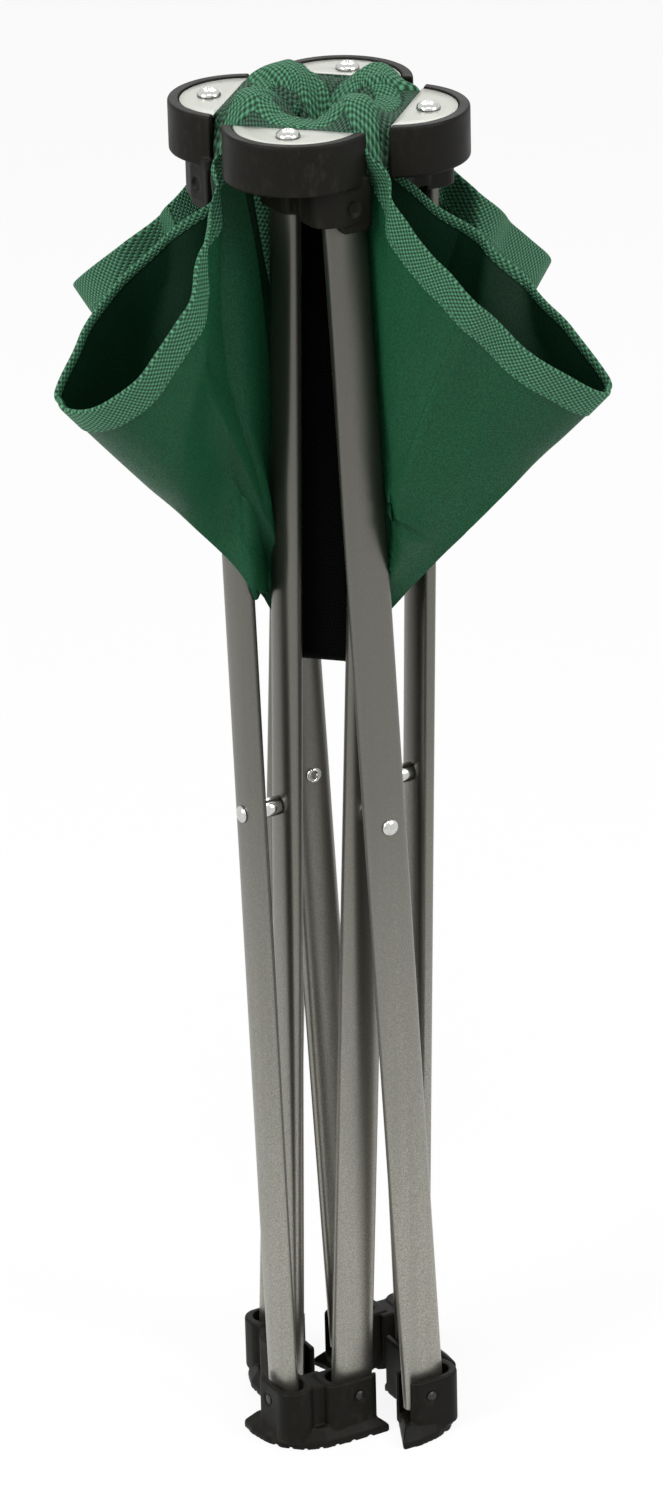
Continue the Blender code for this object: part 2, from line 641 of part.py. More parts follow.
def sheet_normals(middle):
    """Unit normals of a grid of points."""
    down = np.gradient(middle, axis=0)
    across = np.gradient(middle, axis=1)
    normal = np.cross(down, across)
    return normal / np.linalg.norm(normal, axis=-1, keepdims=True)


def wall_mesh(side, layer, part):
    """One wall piece of a lobe, in side 0's frame."""
    middle, half = wall_sheet(side, layer, part, 4)
    return cloth_solid("wall", middle, np.array((0.0, 1.0, 0.0)), half)


def gore_mesh():
    """The cloth of corner 0, from its clamp to the seat's middle."""
    middle = gore_sheet(14, 5, 0.0, CHORD_HALF - 0.0012)
    return cloth_solid("gore", middle, sheet_normals(middle), CLOTH / 2)


def strap_mesh():
    """The webbing strap under corner 0's cloth."""
    lift = CLOTH / 2 + STRAP / 2 + LAYER_GAP
    middle = gore_sheet(14, 3, lift, STRAP_WIDE / 2)
    return cloth_solid("strap", middle, sheet_normals(middle), STRAP / 2)


def body_joints():
    """Each moving body's parent and the axis it turns on, as (parent, place, way, ratio).

    Places and ways are in world coordinates, folded. The ratio is the turn for each turn of
    the first inner tube on its foot.
    """
    out = Vector((1, 0, 0))
    places = {
        "outer_hub": Vector((OUTER_PLANE, -REST_SHIFT, HUB_PIN_Z)),
        "outer_foot": Vector((OUTER_PLANE, REST_SHIFT, FOOT_PIN_Z)),
        "inner_hub": Vector((INNER_PLANE, REST_SHIFT, HUB_PIN_Z)),
        "inner_foot": Vector((INNER_PLANE, -REST_SHIFT, FOOT_PIN_Z)),
        "rivet": Vector(((OUTER_PLANE + INNER_PLANE) / 2, 0, RIVET_Z)),
    }
    table = (
        ("inner_0", "foot_0", "inner_foot", 0, -1, 1), ("outer_3", "foot_0", "outer_foot", 3, 1, 1),
        ("outer_0", "inner_0", "rivet", 0, 1, 2), ("inner_3", "outer_3", "rivet", 3, -1, 2),
        ("hub_0", "outer_0", "outer_hub", 0, -1, 1), ("hub_1", "inner_0", "inner_hub", 0, 1, 1),
        ("foot_1", "outer_0", "outer_foot", 0, -1, 1), ("hub_3", "outer_3", "outer_hub", 3, -1, 1),
        ("foot_3", "inner_3", "inner_foot", 3, 1, 1), ("outer_1", "hub_1", "outer_hub", 1, 1, 1),
        ("inner_1", "outer_1", "rivet", 1, -1, 2), ("foot_2", "outer_1", "outer_foot", 1, -1, 1),
        ("hub_2", "inner_1", "inner_hub", 1, 1, 1), ("outer_2", "hub_2", "outer_hub", 2, 1, 1),
        ("inner_2", "outer_2", "rivet", 2, -1, 2),
    )
    joints = {}
    for body, parent, place, side, sign, ratio in table:
        turn = quarter(side)
        joints[body] = (parent, turn @ places[place], turn.to_3x3() @ out * sign, ratio)
    fold = OPEN_TURN - REST_TURN
    across = Vector((1, 1, 0)).normalized()
    lift = math.pi / 2 - math.atan2(CHORD_U, CLAMP_Z - SEAT_Z)
    middle = Vector((0, 0, SEAT_Z))
    for k in range(4):
        way = quarter(k).to_3x3() @ across
        joints[f"gore_{k}"] = (f"hub_{k}", quarter(k) @ corner_point(CHORD_U, 0, CLAMP_Z), way, lift / fold)
    for k in range(4):
        for layer, letter, hub in ((-1, "a", k), (1, "b", (k + 1) % 4)):
            gore_way = quarter(hub).to_3x3() @ across
            held = Matrix.Rotation(lift, 3, gore_way)
            parent = f"gore_{hub}"
            for part in ("inner", "outer"):
                opened = opening_turn(k, layer, part)
                step = (held.inverted() @ opened).to_quaternion()
                way, angle = step.to_axis_angle()
                joints[f"wall_{part}_{letter}_{k}"] = (parent, middle, way, angle / fold)
                parent = f"wall_{part}_{letter}_{k}"
                held = opened
    return joints


def opening_turn(side, layer, part):
    """The turn that lays a folded wall piece flat in the open seat, in world coordinates."""
    ring, wall, lower = wall_rays(side, layer)
    flat = crease_angle(side, layer)
    if part == "inner":
        first, second, low, high = wall, ring, flat, CORNER_ANGLE
    else:
        first, second, low, high = lower, wall, 0.0, flat
    folded = frame_of(first, second)
    flat_low = np.array([math.cos(low), layer * math.sin(low), 0.0])
    flat_high = np.array([math.cos(high), layer * math.sin(high), 0.0])
    opened = frame_of(flat_low, flat_high)
    turn = np.stack(opened, 1) @ np.stack(folded, 1).T
    about = np.array(quarter(side).to_3x3())
    return Matrix((about @ turn @ about.T).tolist())


def build():
    """Make every piece of the stool."""
    for obj in list(bpy.data.objects):
        bpy.data.objects.remove(obj)
    stool = new_collection("camping_stool")
    cutters = new_collection("cutters")
    joints = body_joints()
    places = {body: place for body, (_, place, _, _) in joints.items()}
    places["foot_0"] = Vector((INNER_PLANE, -REST_SHIFT, FOOT_PIN_Z))
    empties = {}
    for body, place in places.items():
        empty = bpy.data.objects.new(f"axis_{body}", None)
        empty.empty_display_size = 0.01
        stool.objects.link(empty)
        empty.location = place
        empties[body] = empty

    def put(name, mesh, kind, body, turn):
        """Place a piece in its quarter and hang it on its body's axis."""
        placed = mesh.copy()
        placed.transform(quarter(turn))
        placed.transform(Matrix.Translation(-places[body]))
        obj = add_object(name, placed, kind, stool)
        obj.parent = empties[body]
        if kind in ("steel", "bright", "plate", "plastic"):
            placed.shade_smooth()
            placed.set_sharp_from_angle(angle=math.radians(35))

    outer_tube = tube_mesh(OUTER_PLANE, -1, cutters)
    inner_tube = tube_mesh(INNER_PLANE, 1, cutters)
    hub, plate, screw = hub_mesh(cutters), plate_mesh(cutters), screw_mesh()
    foot = foot_mesh(cutters)
    rivet = rivet_mesh()
    gore, strap = gore_mesh(), strap_mesh()
    grip = TUBE_THICK / 2 + SLOT_CLEAR + CHEEK
    outer_pin = cylinder(
        (OUTER_PLANE - grip, -REST_SHIFT, HUB_PIN_Z), (OUTER_PLANE + grip, -REST_SHIFT, HUB_PIN_Z), PIN_R
    )
    inner_pin = cylinder(
        (REST_SHIFT, -INNER_PLANE - grip, HUB_PIN_Z), (REST_SHIFT, -INNER_PLANE + grip, HUB_PIN_Z), PIN_R
    )
    for k in range(4):
        put(f"tube_outer_{k}", outer_tube, "steel", f"outer_{k}", k)
        put(f"tube_inner_{k}", inner_tube, "steel", f"inner_{k}", k)
        put(f"rivet_{k}", rivet, "bright", f"outer_{k}", k)
        put(f"hub_{k}", hub, "plastic", f"hub_{k}", k)
        put(f"clamp_plate_{k}", plate, "plate", f"hub_{k}", k)
        put(f"plate_screw_{k}", screw, "bright", f"hub_{k}", k)
        put(f"hub_pin_outer_{k}", outer_pin, "bright", f"hub_{k}", k)
        put(f"hub_pin_inner_{k}", inner_pin, "bright", f"hub_{k}", k)
        put(f"foot_{k}", foot, "plastic", f"foot_{k}", k)
        put(f"seat_gore_{k}", gore, "cloth", f"gore_{k}", k)
        put(f"seat_strap_{k}", strap, "webbing", f"gore_{k}", k)
        for layer, letter in ((-1, "a"), (1, "b")):
            for part in ("inner", "outer"):
                name = f"{part}_{letter}_{k}"
                put(f"seat_{name}", wall_mesh(k, layer, part), "cloth", f"wall_{name}", k)


build()
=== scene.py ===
"""Looks of the folded camping stool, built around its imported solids.

Side k is the +X side turned k quarter turns about Z, and corner k is the one between -Y and
+X turned likewise. Lengths are metres, angles radians, unless a name says otherwise.
"""
import itertools
import math

import bmesh
import bpy
import numpy as np
from mathutils import Matrix, Vector


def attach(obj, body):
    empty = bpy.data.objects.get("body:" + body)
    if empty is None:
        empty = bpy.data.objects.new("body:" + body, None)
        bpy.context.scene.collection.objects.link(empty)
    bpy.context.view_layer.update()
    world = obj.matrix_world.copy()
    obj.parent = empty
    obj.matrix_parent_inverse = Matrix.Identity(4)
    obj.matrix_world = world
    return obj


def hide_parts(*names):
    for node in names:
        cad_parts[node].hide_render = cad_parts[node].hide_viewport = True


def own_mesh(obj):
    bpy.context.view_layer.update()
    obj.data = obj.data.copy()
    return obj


bl_info = {
    "name": "Camping stool looks",
    "version": (1, 0, 0),
    "blender": (4, 5, 0),
    "location": "3D View > Sidebar > Stool",
    "description": "Builds the tubes, hubs, feet and folded cloth seat of a camping stool",
    "category": "Object",
}

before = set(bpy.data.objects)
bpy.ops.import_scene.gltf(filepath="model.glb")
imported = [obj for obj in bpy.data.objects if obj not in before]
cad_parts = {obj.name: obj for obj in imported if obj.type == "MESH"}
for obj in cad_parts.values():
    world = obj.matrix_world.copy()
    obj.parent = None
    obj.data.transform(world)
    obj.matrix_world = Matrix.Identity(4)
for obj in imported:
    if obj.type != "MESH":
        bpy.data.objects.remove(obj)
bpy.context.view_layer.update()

# The stool's lines, as its solids have them
PIN_SPAN = 0.478
REST_SHIFT = 0.0113
OUTER_PLANE = 0.0355
INNER_PLANE = 0.0204
FOOT_PIN_Z = 0.0175
TUBE_END = 0.0060
CHORD_U = 0.0320
CHORD_HALF = 0.0216
CLAMP_Z = 0.518515
PLATE_TOP = 0.520365
HEM_HALF = 0.134954
MIDDLE_RAY = 0.165501
SEAT_Z = 0.308486
REST_TURN = math.asin(2 * REST_SHIFT / PIN_SPAN)
HUB_PIN_Z = FOOT_PIN_Z + PIN_SPAN * math.cos(REST_TURN)
RIVET_Z = (FOOT_PIN_Z + HUB_PIN_Z) / 2
CORNER_ANGLE = math.atan2(HEM_HALF, MIDDLE_RAY)
SEAT_MIDDLE = np.array((0.0, 0.0, SEAT_Z))
CORNER_RAY = math.hypot(CHORD_U, CLAMP_Z - SEAT_Z)   # from the seat's middle to a clamped chord
SCREW_U = CHORD_U + 0.0078  # the plate's screw, out along the diagonal
DISC_U = CHORD_U - 0.0043   # the middle of the plate's and the cap's round backs
MM = 0.001
# Each side's lobe: its lower crease's lean and turn in degrees, then for its two walls the
# upper edge's lean and the share of the hem's half at which the hem creases
LOBES = (
    (40.9, 35.0, (10.5, 0.50), (3.5, 0.55)),
    (39.3, 12.0, (4.0, 0.50), (4.0, 0.50)),
    (38.5, 29.0, (4.0, 0.50), (4.0, 0.50)),
    (40.4, 0.0, (2.0, 0.35), (9.5, 0.45)),
)
NOSE_R = 0.0030           # bend of the hem at a lobe's nose
STRAP_LINE = 0.0150       # the strap's distance out along the diagonal, below the hub
STRAP_LOW = 0.3135        # underside of the strap, under the seat's middle
# How each wall swells, at the hem: the slope at the nose and how far it carries, how far the
# slope at the crease carries, and the outer and inner panels' own swell, in millimetres
SWELLS = {
    (0, -1): (0.95, 60.0, 24.0, 1.2, 3.4),
    (0, 1): (0.25, 20.0, 30.0, 2.6, -1.2),
    (3, -1): (0.30, 20.0, 30.0, 0.8, -5.0),
    (3, 1): (1.55, 76.0, 18.0, 1.5, 3.3),
}
HIDDEN_SWELL = (0.80, 50.0, 24.0, 1.5, 2.5)     # of the walls that the photograph doesn't show
# How far each wall's hem is drawn off its panels' planes at these shares of the hem's half, in
# millimetres in side 0's frame; the last share, at the hub, stays where it is
RIM_SHARES = (0.0, 0.15, 0.30, 0.45, 0.55, 0.65, 0.75, 0.84, 0.92, 1.0)
RIM_DRAWS = {
    (3, 1): ((0.0, 1.1, -2.8), (-0.5, -0.2, 1.1), (1.2, -1.1, 1.1), (4.1, -3.2, 2.4), (3.5, -2.5, 1.6),
             (3.6, -2.4, 1.2), (-3.6, 2.3, -1.1), (-8.6, 5.0, -1.1), (-2.1, 1.0, 0.4)),
    (3, -1): ((0.0, 1.1, -2.8), (1.7, -1.6, 1.7), (1.8, -1.6, 1.7), (0.8, -1.0, 1.5), (1.2, -1.4, 2.0),
              (1.5, -2.0, 2.8), (0.4, -0.1, -0.3), (0.0, 0.0, 0.0), (0.0, 0.0, 0.0)),
    (0, -1): ((2.2, 0.4, -4.4), (-0.3, 0.4, 1.2), (0.3, 1.3, 1.0), (1.1, 4.8, 4.2), (1.3, 5.7, 5.1),
              (0.6, 2.3, 1.9), (0.3, 0.8, 0.5), (-0.4, -1.0, -0.5), (1.6, 3.4, 0.8)),
    (0, 1): ((2.2, 0.4, -4.4), (-0.2, 0.5, 1.1), (0.1, -0.3, -0.8), (0.5, 2.5, 2.5), (0.8, 4.0, 4.0),
             (0.8, 4.2, 4.3), (0.2, 0.9, 0.9), (0.0, 0.0, 0.0), (0.0, 0.0, 0.0)),
}
RIM_BEAD = 0.0028           # how far the tape reaches down on the inside of a lobe
CREASE_DRAW = 0.026         # how far from a crease a panel is drawn to the crease's line
LIFT_TRIED, LIFT_HELD = 0.036, 0.012    # largest lifts off a panel's plane: tried, held
SMOOTHINGS = 14             # rounds of smoothing between held and free cloth
# The bunched cloth between the plates: its hole's radius, its middle's distance to a plate's
# chord, and how far it reaches into a gap between two hubs
RING_HOLE, RING_CHORD, RING_REACH = 0.0045, 0.0318, 0.0400
STITCH_LINE, STITCH = 0.0108, 0.0028    # the seam's distance from the hem, and its stitches
# The camera that was fitted to the photograph: angles and roll in degrees, distance, aim's
# height, then focal length, the picture's middle and the picture's size in photo pixels
AZIMUTH, ELEVATION, ROLL = 60.6, 24.1, -1.46
CAMERA_AWAY, CAMERA_AIM = 2.221, 0.257
FOCAL, CENTRE, PHOTO = 6039.0, (335.7, 788.2), (663, 1500)
# Half of the floor's side, how much it glows for the camera, the world's light on the stool,
# and each lamp's name, azimuth, elevation, distance, side and power
FLOOR, FLOOR_GLOW, WORLD_LIGHT = 6.0, 0.88, 0.27
LAMPS = (
    ("lamp_left", 5, 32, 1.7, 0.9, 21),
    ("lamp_right", 118, 30, 1.7, 0.9, 16),
    ("lamp_front", 62, 62, 1.9, 0.8, 11),
    ("lamp_back", 240, 45, 2.0, 1.0, 11),
)


def length_of(name, description, default, **more):
    """A length that the panel offers."""
    return bpy.props.FloatProperty(
        name=name, description=description, default=default, unit="LENGTH", **more)


def colour_of(name, description, *default):
    """A linear colour that the panel offers."""
    return bpy.props.FloatVectorProperty(
        name=name, description=description, subtype="COLOR", size=3, default=default)


class StoolSizes(bpy.types.PropertyGroup):
    """Sizes of the stool's visible pieces."""

    tube_wide: length_of("Tube width", "Width of the flat oval tube", 0.0168)
    tube_thick: length_of("Tube thickness", "Thickness of the flat oval tube", 0.0075)
    tube_wall: length_of("Tube wall", "Wall of the tube", 0.0010)
    cloth: length_of("Cloth thickness", "Thickness of the seat cloth", 0.0007)
    tape: length_of("Tape thickness", "Thickness of the bound hem", 0.0019)
    tape_wide: length_of("Tape width", "Width of the tape on the hem", 0.0125)
    weave: length_of("Tape weave", "Length of one cell of the tape's weave", 0.0010, precision=5)
    strap_wide: length_of("Strap width", "Width of the webbing under the seat", 0.0200)


class StoolColours(bpy.types.PropertyGroup):
    """Colours of the stool's finishes, linear."""

    satin: colour_of("Seat cloth", "Smooth coated side of the seat cloth", 0.0075, 0.056, 0.0235)
    tape: colour_of("Tape", "Coarse woven tape on the hems", 0.026, 0.108, 0.054)
    # The strap is black webbing, set darker still as painted shade between the tubes
    webbing: colour_of("Strap", "Black webbing", 0.0006, 0.0007, 0.0006)
    tube: colour_of("Tubes", "Satin coat of the tubes", 0.350, 0.342, 0.300)
    plastic: colour_of("Plastic", "Hubs and feet", 0.0060, 0.0056, 0.0042)
    plate: colour_of("Clamp plates", "Brushed plates on the hubs", 0.30, 0.305, 0.275)
    bright: colour_of("Screws and rivets", "Bright plated steel", 0.60, 0.60, 0.58)
    floor: colour_of("Floor", "Pale studio floor", 0.90, 0.90, 0.90)


def sizes():
    return bpy.context.scene.stool_sizes


def colours():
    return bpy.context.scene.stool_colours


# Meshes

def quarter(points, k):
    """Turns points about Z by k quarter turns: each turn takes (x, y) to (-y, x)."""
    points = np.asarray(points, float)
    for _ in range(k % 4):
        points = np.stack([-points[..., 1], points[..., 0], points[..., 2]], -1)
    return points


def corner_frame(u, v, z):
    """Points of corner 0 from the distance out along its diagonal and across it."""
    u, v, z = np.broadcast_arrays(u, v, z)
    return np.stack([(u + v) / math.sqrt(2), (v - u) / math.sqrt(2), z], -1)


def grid_faces(rows, columns, first=0, wrap_rows=False, wrap_columns=False, flip=False):
    """Corner numbers of the quads of a grid whose points are numbered row by row."""
    r = np.arange(rows if wrap_rows else rows - 1)[:, None]
    c = np.arange(columns if wrap_columns else columns - 1)[None, :]
    up, right = (r + 1) % rows, (c + 1) % columns
    quads = np.stack([r * columns + c, r * columns + right, up * columns + right, up * columns + c], -1)
    quads = quads.reshape(-1, 4) + first
    return quads[:, ::-1] if flip else quads


def link(name, data):
    """A new object of that data, in the scene."""
    made = bpy.data.objects.new(name, data)
    bpy.context.scene.collection.objects.link(made)
    return made


def make_object(name, points, quads, materials, index=None, uv=None, smooth=True):
    """An object from points (n, 3), quads (m, 4), its materials, and uv (n, 2) of each point."""
    mesh = bpy.data.meshes.new(name)
    mesh.from_pydata(points.tolist(), [], quads.tolist())
    for finish in materials:
        mesh.materials.append(finish)
    if index is not None:
        mesh.polygons.foreach_set("material_index", np.asarray(index, np.int32))
    if uv is not None:
        loops = np.empty(len(mesh.loops), np.int32)
        mesh.loops.foreach_get("vertex_index", loops)
        layer = mesh.uv_layers.new(name="flat")
        layer.data.foreach_set("uv", uv[loops].astype(np.float32).ravel())
    mesh.polygons.foreach_set("use_smooth", np.full(len(mesh.polygons), smooth))
    mesh.validate()
    mesh.update()
    return link(name, mesh)


def face_outwards(made):
    """Turns a closed object's faces outwards, and gives it back."""
    bm = bmesh.new()
    bm.from_mesh(made.data)
    bmesh.ops.remove_doubles(bm, verts=bm.verts, dist=1e-7)
    bmesh.ops.recalc_face_normals(bm, faces=bm.faces)
    bm.to_mesh(made.data)
    bm.free()
    return made


def shell(name, front, back, uv, finishes, index=None):
    """A closed sheet between two grids of points, with strips around their four edges.

    index gives the number of the front's, back's and rim's finish for each row of quads;
    without it all of them have the first.
    """
    rows, columns = front.shape[:2]
    count = rows * columns
    points = np.concatenate([front.reshape(-1, 3), back.reshape(-1, 3)])
    number = np.arange(count).reshape(rows, columns)
    ring = np.concatenate([number[0, :-1], number[:-1, -1], number[-1, :0:-1], number[:0:-1, 0]])
    after = np.roll(ring, -1)
    rim = np.stack([after, ring, ring + count, after + count], -1)
    quads = np.concatenate([
        grid_faces(rows, columns), grid_faces(rows, columns, count, flip=True), rim])
    if index is not None:
        row_of = np.repeat(np.arange(rows - 1), columns - 1)
        rim_row = np.minimum(ring // columns, rows - 2)
        index = np.concatenate([index[0][row_of], index[1][row_of], index[2][rim_row]])
    both = np.concatenate([uv.reshape(-1, 2)] * 2)
    return face_outwards(make_object(name, points, quads, map(finish_of, finishes), index, both))


def ringed(name, rings, finish):
    """A closed body through rings of points (rings, points, 3), the last joined to the first."""
    quads = grid_faces(*rings.shape[:2], wrap_rows=True, wrap_columns=True)
    return face_outwards(make_object(name, rings.reshape(-1, 3), quads, [finish_of(finish)]))


def turned_piece(name, profile, spot, way, finish, sides, relief=None):
    """A body of revolution: profile points (radius, height) swept round an axis.

    A point at angle a stands at spot + height * way + radius * (cos a, sin a) across it.
    relief(radius, angle) lowers the top faces.
    """
    profile = np.asarray(profile, float)
    angle = np.linspace(0, 2 * math.pi, sides, endpoint=False)[None, :]
    radius, height = profile[:, :1], profile[:, 1:] + 0 * angle
    if relief is not None:
        height = height - relief(radius, angle)
    turn = np.array(Vector(way).to_track_quat("Z", "Y").to_matrix())
    local = np.stack([radius * np.cos(angle), radius * np.sin(angle), height], -1)
    points = local.reshape(-1, 3) @ turn.T + np.asarray(spot)
    quads = grid_faces(len(profile), sides, wrap_columns=True)
    return face_outwards(make_object(name, points, quads, [finish_of(finish)]))


def four(first):
    """The piece of side or corner 0, and copies turned to the other three about Z.

    A copy's turn is kept in its mesh, and its name ends in its own number instead of 0.
    """
    made = [first]
    for k in range(1, 4):
        mesh = first.data.copy()
        mesh.transform(Matrix.Rotation(k * math.pi / 2, 4, "Z"))
        made.append(link(f"{first.name[:-1]}{k}", mesh))
    return made


def place(made, body, slot, *nodes):
    """Hangs a finished piece on its body, and hides the solids that it stands for; slot is not used."""
    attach(made, body)
    if nodes:
        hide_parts(*nodes)


def unit(way):
    return way / np.linalg.norm(way)


def square_to(axis, way):
    """Unit part of a way that stands square to a unit axis."""
    return unit(way - axis * (axis @ way))


def smooth_step(value, low, high):
    """Rises from 0 at low to 1 at high, with level ends."""
    share = np.clip((value - low) / (high - low), 0, 1)
    return share * share * (3 - 2 * share)


# Materials

class Nodes:
    """A material's nodes, added and linked in one call each.

    sheen gives its weight, its roughness and its tint as a factor on the base colour.
    """

    def __init__(self, name, base, rough, metal=0.0, specular=0.5, sheen=None):
        self.base = base
        self.material = bpy.data.materials.new(name)
        self.material.use_nodes = True
        self.tree = self.material.node_tree
        self.shader = self.tree.nodes["Principled BSDF"]
        self.set(self.shader, {"Roughness": rough, "Metallic": metal, "Specular IOR Level": specular})
        if sheen:
            self.set(self.shader, {"Sheen Weight": sheen[0], "Sheen Roughness": sheen[1],
                                   "Sheen Tint": self.shade(sheen[2])})
        self.coordinates = self.tree.nodes.new("ShaderNodeTexCoord")

    def shade(self, factor):
        """The base colour times a factor, with its alpha."""
        return (*(min(1.0, part * factor) for part in self.base), 1.0)

    def set(self, node, values):
        for key, value in values.items():
            socket = node.inputs[key]
            if isinstance(value, bpy.types.NodeSocket):
                self.tree.links.new(value, socket)
            else:
                socket.default_value = value

    def add(self, kind, values=None, **settings):
        node = self.tree.nodes.new("ShaderNode" + kind)
        for key, value in settings.items():
            setattr(node, key, value)
        self.set(node, values or {})
        return node

    def math(self, operation, first, second=0.0):
        return self.add("Math", {0: first, 1: second}, operation=operation).outputs[0]

    def noise(self, scale, detail, stretch=(1, 1, 1)):
        moved = self.add("Mapping", {"Vector": self.coordinates.outputs["Object"], "Scale": stretch})
        made = self.add("TexNoise", {"Vector": moved.outputs[0], "Scale": scale, "Detail": detail})
        return made.outputs["Fac"]

    def span(self, value, low, high, bottom=0.0, top=1.0):
        return self.add("MapRange", {
            "Value": value, "From Min": low, "From Max": high, "To Min": bottom, "To Max": top}).outputs[0]

    def mix(self, share, first, second):
        return self.add("Mix", {0: share, 6: first, 7: second}, data_type="RGBA").outputs[2]

    def bump(self, height, distance, strength, **after):
        values = {"Height": height, "Distance": distance, "Strength": strength, **after}
        return self.add("Bump", values).outputs[0]

    def finish(self, colour, **values):
        self.set(self.shader, {"Base Color": colour, **values})
        return self.material


def woven_cell(n, cell, tilt):
    """A weave's height from the flat cloth's own metres: sin(pi x / cell) sin(pi y / cell).

    It is positive on every second cell, like a chequer board, where the warp lies on top.
    tilt slants the weave: x gains tilt times y, and y loses tilt times x.
    """
    parts = n.add("SeparateXYZ", {0: n.coordinates.outputs["UV"]})
    x, y = parts.outputs[0], parts.outputs[1]
    slanted = (n.math("ADD", x, n.math("MULTIPLY", y, tilt)),
               n.math("SUBTRACT", y, n.math("MULTIPLY", x, tilt)))
    waves = [n.math("SINE", n.math("MULTIPLY", part, math.pi / cell)) for part in slanted]
    return n.math("MULTIPLY", waves[0], waves[1]), x, y


def satin_cloth(name="seat_satin", level=1.0):
    """The seat cloth's coated side: dense fine weave with a soft sheen and a fine grain.

    level darkens it down to 70 mm from the hem, as painted shade inside the lobes.
    """
    n = Nodes(name, colours().satin, 0.44, specular=0.11, sheen=(0.04, 0.4, 10))
    fine, _, down = woven_cell(n, 0.00036, 0.35)
    grain, cloud = n.noise(1500, 1), n.noise(16, 3)
    tone = n.mix(n.span(grain, 0.35, 0.72), n.shade(0.80), n.shade(1.45))
    tone = n.mix(n.span(cloud, 0.35, 0.7, 0.0, 0.35), tone, n.shade(0.75))
    # Painted shade: towards black by 1 - level near the hem, fading out from 40 to 70 mm down
    tone = n.mix(n.span(down, 0.040, 0.070, 1 - level, 0), tone, (0, 0, 0, 1))
    normal = n.bump(grain, 0.00008, 0.5, Normal=n.bump(fine, 0.00006, 0.5))
    return n.finish(tone, Normal=normal, Roughness=n.span(grain, 0.3, 0.75, 0.56, 0.36))


def tape_cloth(name="hem_tape", level=1.0):
    """The coarse woven tape: warp cells with painted highlights, weft with painted shade, a stitched line by
    its edge.
    """
    n = Nodes(name, [part * level for part in colours().tape], 0.72, specular=0.25, sheen=(0.12, 0.5, 5))
    cell, along, down = woven_cell(n, sizes().weave, 0.30)
    fibre = n.noise(2600, 2)
    # Painted highlight and shade on the weave: weft cells darkened, warp cells lifted to a pale grey
    tone = n.mix(n.span(cell, -0.9, -0.05), n.shade(0.12), n.shade(0.62))
    tone = n.mix(n.span(cell, -0.25, 0.85), tone, (*(part * 2.5 + 0.03 for part in n.base), 1.0))
    tone = n.mix(n.span(fibre, 0.3, 0.8, 0, 0.45), tone, n.shade(0.6))
    edge = n.math("ABSOLUTE", n.math("SUBTRACT", down, STITCH_LINE))
    dash = n.math("SINE", n.math("MULTIPLY", along, 2 * math.pi / STITCH))
    stitch = n.math("MULTIPLY", n.span(edge, 0.0003, 0.0006, 1, 0), n.span(dash, -0.3, 0.1))
    raised = n.math("ADD", n.math("ABSOLUTE", cell), n.math("MULTIPLY", stitch, 1.5))
    normal = n.bump(fibre, 0.00006, 0.5, Normal=n.bump(raised, 0.00028, 0.9))
    return n.finish(n.mix(stitch, tone, n.shade(1.25)), Normal=normal)


def strap_webbing():
    """Black webbing, darkened near to black as painted shade between the tubes: slanting ribs across it."""
    n = Nodes("strap_webbing", colours().webbing, 0.62, specular=0.03)
    cell = woven_cell(n, 0.0011, 0.6)[0]
    tone = n.mix(n.span(cell, -0.4, 0.9), n.shade(0.6), n.shade(3.2))
    tone = n.mix(n.span(n.noise(2400, 2), 0.3, 0.8, 0, 0.5), tone, n.shade(0.7))
    return n.finish(tone, Normal=n.bump(n.math("ABSOLUTE", cell), 0.0003, 0.8))


def tube_coat():
    """The tubes' satin metallic coat: speckled, with drawn streaks, and darker further up as painted shade.
    """
    n = Nodes("tube_coat", colours().tube, 0.36, 0.92)
    speck = n.noise(1900, 2)
    streak, cloud = n.noise(260, 3, (1, 1, 0.02)), n.noise(24, 3, (1, 1, 0.35))
    height = n.add("SeparateXYZ", {0: n.coordinates.outputs["Object"]}).outputs[2]
    tone = n.mix(n.span(speck, 0.35, 0.75), n.shade(0.72), n.shade(1.30))
    # Speckle, streaks and cloud are the coat's own; the two height rows are painted shade, darker from 80 mm
    # up and more above 270 mm
    for value, low, high, top, factor in (
            (streak, 0.42, 0.62, 0.35, 0.72), (cloud, 0.45, 0.7, 0.4, 0.78),
            (height, 0.08, 0.27, 0.85, 0.38), (height, 0.27, 0.48, 0.55, 0.22)):
        tone = n.mix(n.span(value, low, high, 0, top), tone, n.shade(factor))
    rough = n.math("ADD", n.span(speck, 0.3, 0.8, 0.38, 0.26), n.span(cloud, 0.4, 0.7, 0.0, 0.08))
    return n.finish(tone, Normal=n.bump(speck, 0.00004, 0.55), Roughness=rough)


def moulded_plastic():
    """Dark moulded plastic: fine eroded grain, a satin skin and dusty scuffs."""
    n = Nodes("moulded_plastic", colours().plastic, 0.46, specular=0.10)
    grain, cloud, scuff = n.noise(1600, 2), n.noise(60, 4), n.noise(420, 3, (1, 1, 0.4))
    marks = n.math("MULTIPLY", n.span(cloud, 0.48, 0.68), n.span(scuff, 0.5, 0.7))
    tone = n.mix(n.span(grain, 0.3, 0.75), n.shade(0.8), n.shade(1.3))
    tone = n.mix(n.math("MULTIPLY", marks, 0.45), tone, n.shade(4.5))
    return n.finish(tone, Normal=n.bump(grain, 0.00005, 0.6), Roughness=n.span(cloud, 0.3, 0.7, 0.40, 0.56))


def brushed_plate():
    """Bright plate with fine brush lines along it."""
    n = Nodes("brushed_plate", colours().plate, 0.30, 0.95)
    lines, cloud = n.noise(900, 3, (0.06, 1, 1)), n.noise(80, 2)
    tone = n.mix(n.span(lines, 0.35, 0.7), n.shade(0.95), n.shade(1.04))
    rough = n.math("ADD", n.span(lines, 0.3, 0.7, 0.40, 0.46), n.span(cloud, 0.4, 0.7, 0, 0.05))
    return n.finish(tone, Normal=n.bump(lines, 0.000004, 0.3), Roughness=rough)


